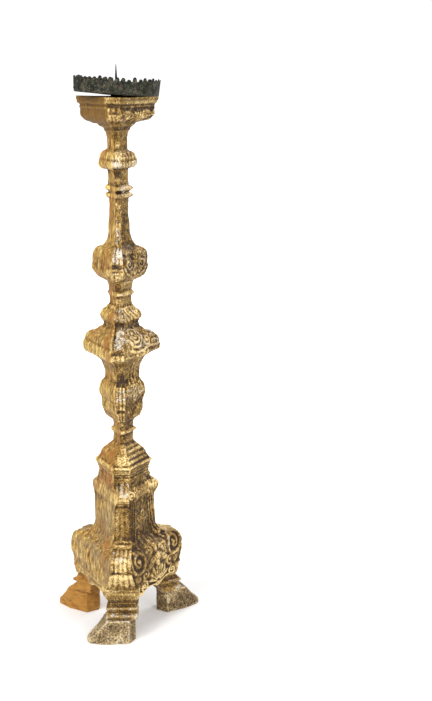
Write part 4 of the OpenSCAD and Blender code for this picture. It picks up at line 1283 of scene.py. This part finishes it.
def joinShapes(tree, shapes):
    joined = addNode(tree, "GeometryNodeJoinGeometry")
    for one in shapes:
        tree.links.new(one, joined.inputs[0])
    return joined.outputs[0]


def solidSheet(tree, given, sheet):
    # the sheet, and its copy further in with a rim between them
    back = calcFor(tree)("MULTIPLY", given["Sheet"], -1.0)
    inward = addNode(tree, "ShaderNodeVectorMath", {0: shapeNode(tree, "InputNormal", {}), "Scale": back},
                     operation="SCALE").outputs[0]
    moved = shapeNode(tree, "ExtrudeMesh", {
        "Mesh": sheet, "Offset": inward, "Offset Scale": 1.0, "Individual": False}, mode="FACES")
    turned = shapeNode(tree, "FlipFaces", {"Mesh": moved})
    both = joinShapes(tree, (turned, sheet))
    return shapeNode(tree, "MergeByDistance", {"Geometry": both, "Distance": 0.000002})


def bandTree(material):
    tree, given, result = startTree("lobedBand", bandLook)
    calc = calcFor(tree)
    columns = calc("ADD", calc("MULTIPLY", given["Lobes"], given["Columns Each"]), 1.0)
    flat = shapeNode(tree, "MeshGrid", {
        "Size X": 1.0, "Size Y": 1.0, "Vertices X": columns, "Vertices Y": 20})
    bent = shapeNode(tree, "SetPosition", {"Geometry": flat, "Position": bentPlace(tree, given)})
    seam = shapeNode(tree, "MergeByDistance", {"Geometry": bent, "Distance": 0.00001})
    endTree(tree, result, solidSheet(tree, given, seam), material)
    return tree


rivetLook = {
    "Count": 6, "Ring Radius": 0.0719, "Height": 0.0066, "First": math.radians(15),
    "Head": 0.0024, "Proud": 0.0008, "Grip": 0.0036,
}


def oneRivet(tree, given):
    # a flat head outside, the shank, and a smaller head inside
    ball = shapeNode(tree, "MeshUVSphere", {"Segments": 20, "Rings": 10, "Radius": 1.0})
    shank = shapeNode(tree, "MeshCylinder", {"Vertices": 16, "Radius": 0.001, "Depth": given["Grip"]})
    flatness = joinXYZ(tree, given["Head"], given["Head"], given["Proud"])
    head = shapeNode(tree, "Transform", {"Geometry": ball, "Scale": flatness})
    stem = shapeNode(tree, "Transform", {"Geometry": shank, "Translation": (0.0, 0.0, -0.0017)})
    tail = shapeNode(tree, "Transform", {
        "Geometry": head, "Scale": (0.8, 0.8, 0.7), "Translation": (0.0, 0.0, -0.0034)})
    return joinShapes(tree, (head, stem, tail))


def rivetTree(material):
    tree, given, result = startTree("rimRivets", rivetLook)
    ring = shapeNode(tree, "MeshCircle", {"Vertices": given["Count"], "Radius": given["Ring Radius"]})
    placed = shapeNode(tree, "Transform", {
        "Geometry": ring, "Translation": joinXYZ(tree, z=given["Height"]),
        "Rotation": joinXYZ(tree, z=given["First"])})
    spot = shapeNode(tree, "InputPosition", {})
    flatOut = addNode(tree, "ShaderNodeVectorMath", {0: spot, 1: (1.0, 1.0, 0.0)}, operation="MULTIPLY")
    aim = addNode(tree, "FunctionNodeAlignRotationToVector", {"Vector": flatOut.outputs[0]}, axis="Z")
    copies = shapeNode(tree, "InstanceOnPoints", {
        "Points": placed, "Instance": oneRivet(tree, given), "Rotation": aim.outputs[0]})
    endTree(tree, result, copies, material)
    return tree


rimBand = growPiece("lobedBand", bandTree(agedSheet), bandLook)
leanWithPan(rimBand.data)
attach(rimBand, "pan")
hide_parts("pan_rim")
rivets = growPiece("rimRivets", rivetTree(darkIron), rivetLook)
leanWithPan(rivets.data)
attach(rivets, "pan")
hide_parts("rim_rivets")
print("pan made")


# ---- stage ----

floorLook = {
    "half": 14, "colour": (0.86, 0.86, 0.86, 1), "rough": 0.9,
    "glow": {"From Min": 0.3, "From Max": 2.5, "To Min": 0.16, "To Max": 0.8},  # by metres from the stand
}


def makeFloor(look):
    mesh = bpy.data.meshes.new("studioFloor")
    half = look["half"]
    corners = [(-half, -half, 0), (half, -half, 0), (half, half, 0), (-half, half, 0)]
    mesh.from_pydata(corners, [], [(0, 1, 2, 3)])
    floor = addObject("studioFloor", mesh)
    material, tree, shader = startMaterial("paleFloor")
    # it glows a little further away, so that it runs into the white wall without a line
    away = addNode(tree, "ShaderNodeVectorMath", {0: placeNode(tree)}, operation="LENGTH").outputs["Value"]
    glow = addNode(tree, "ShaderNodeMapRange", {"Value": away, **look["glow"]}).outputs["Result"]
    seen = addNode(tree, "ShaderNodeLightPath").outputs["Is Camera Ray"]
    setInputs(tree, shader, {
        "Base Color": look["colour"], "Roughness": look["rough"], "Emission Color": (1, 1, 1, 1),
        "Emission Strength": mathNode(tree, "MULTIPLY", glow, seen),
    })
    mesh.materials.append(material)


def makeLight(name, place, size, power):
    data = bpy.data.lights.new(name, "AREA")
    data.shape = "RECTANGLE"
    data.size, data.size_y = size
    data.energy = power
    light = addObject(name, data)
    light.location = place
    toStand = Vector((0, 0, 0.5)) - Vector(place)
    light.rotation_euler = toStand.to_track_quat("-Z", "Y").to_euler()


def makeWorld(seenPower, dimmer):
    # the camera sees plain white, but the light it gives is dim from below and brighter from above
    world = bpy.data.worlds.new("studioWorld")
    bpy.context.scene.world = world
    world.use_nodes = True
    tree = world.node_tree
    add, sub, mul = sumsFor(tree)
    seen = addNode(tree, "ShaderNodeLightPath").outputs["Is Camera Ray"]
    around = addNode(tree, "ShaderNodeTexCoord").outputs["Generated"]
    toward = addNode(tree, "ShaderNodeSeparateXYZ", {"Vector": around}).outputs["Z"]
    dim = addNode(tree, "ShaderNodeMapRange", {"Value": toward, **dimmer}).outputs["Result"]
    power = add(mul(seen, seenPower), mul(sub(1.0, seen), dim))
    setInputs(tree, tree.nodes["Background"], {"Color": (1, 1, 1, 1), "Strength": power})


makeFloor(floorLook)
makeLight("keyLight", (-0.9, 2.3, 2.7), (1.5, 1.5), 78)
makeLight("frontFill", (-2.6, -0.4, 1.5), (1.0, 1.6), 28)
makeLight("rimLight", (0.8, -2.2, 2.0), (1.0, 1.6), 30)
makeWorld(1.1, {"From Min": -0.1, "From Max": 0.9, "To Min": 0.14, "To Max": 0.8})
bpy.context.scene.view_settings.view_transform = "Standard"
print("stage lit")
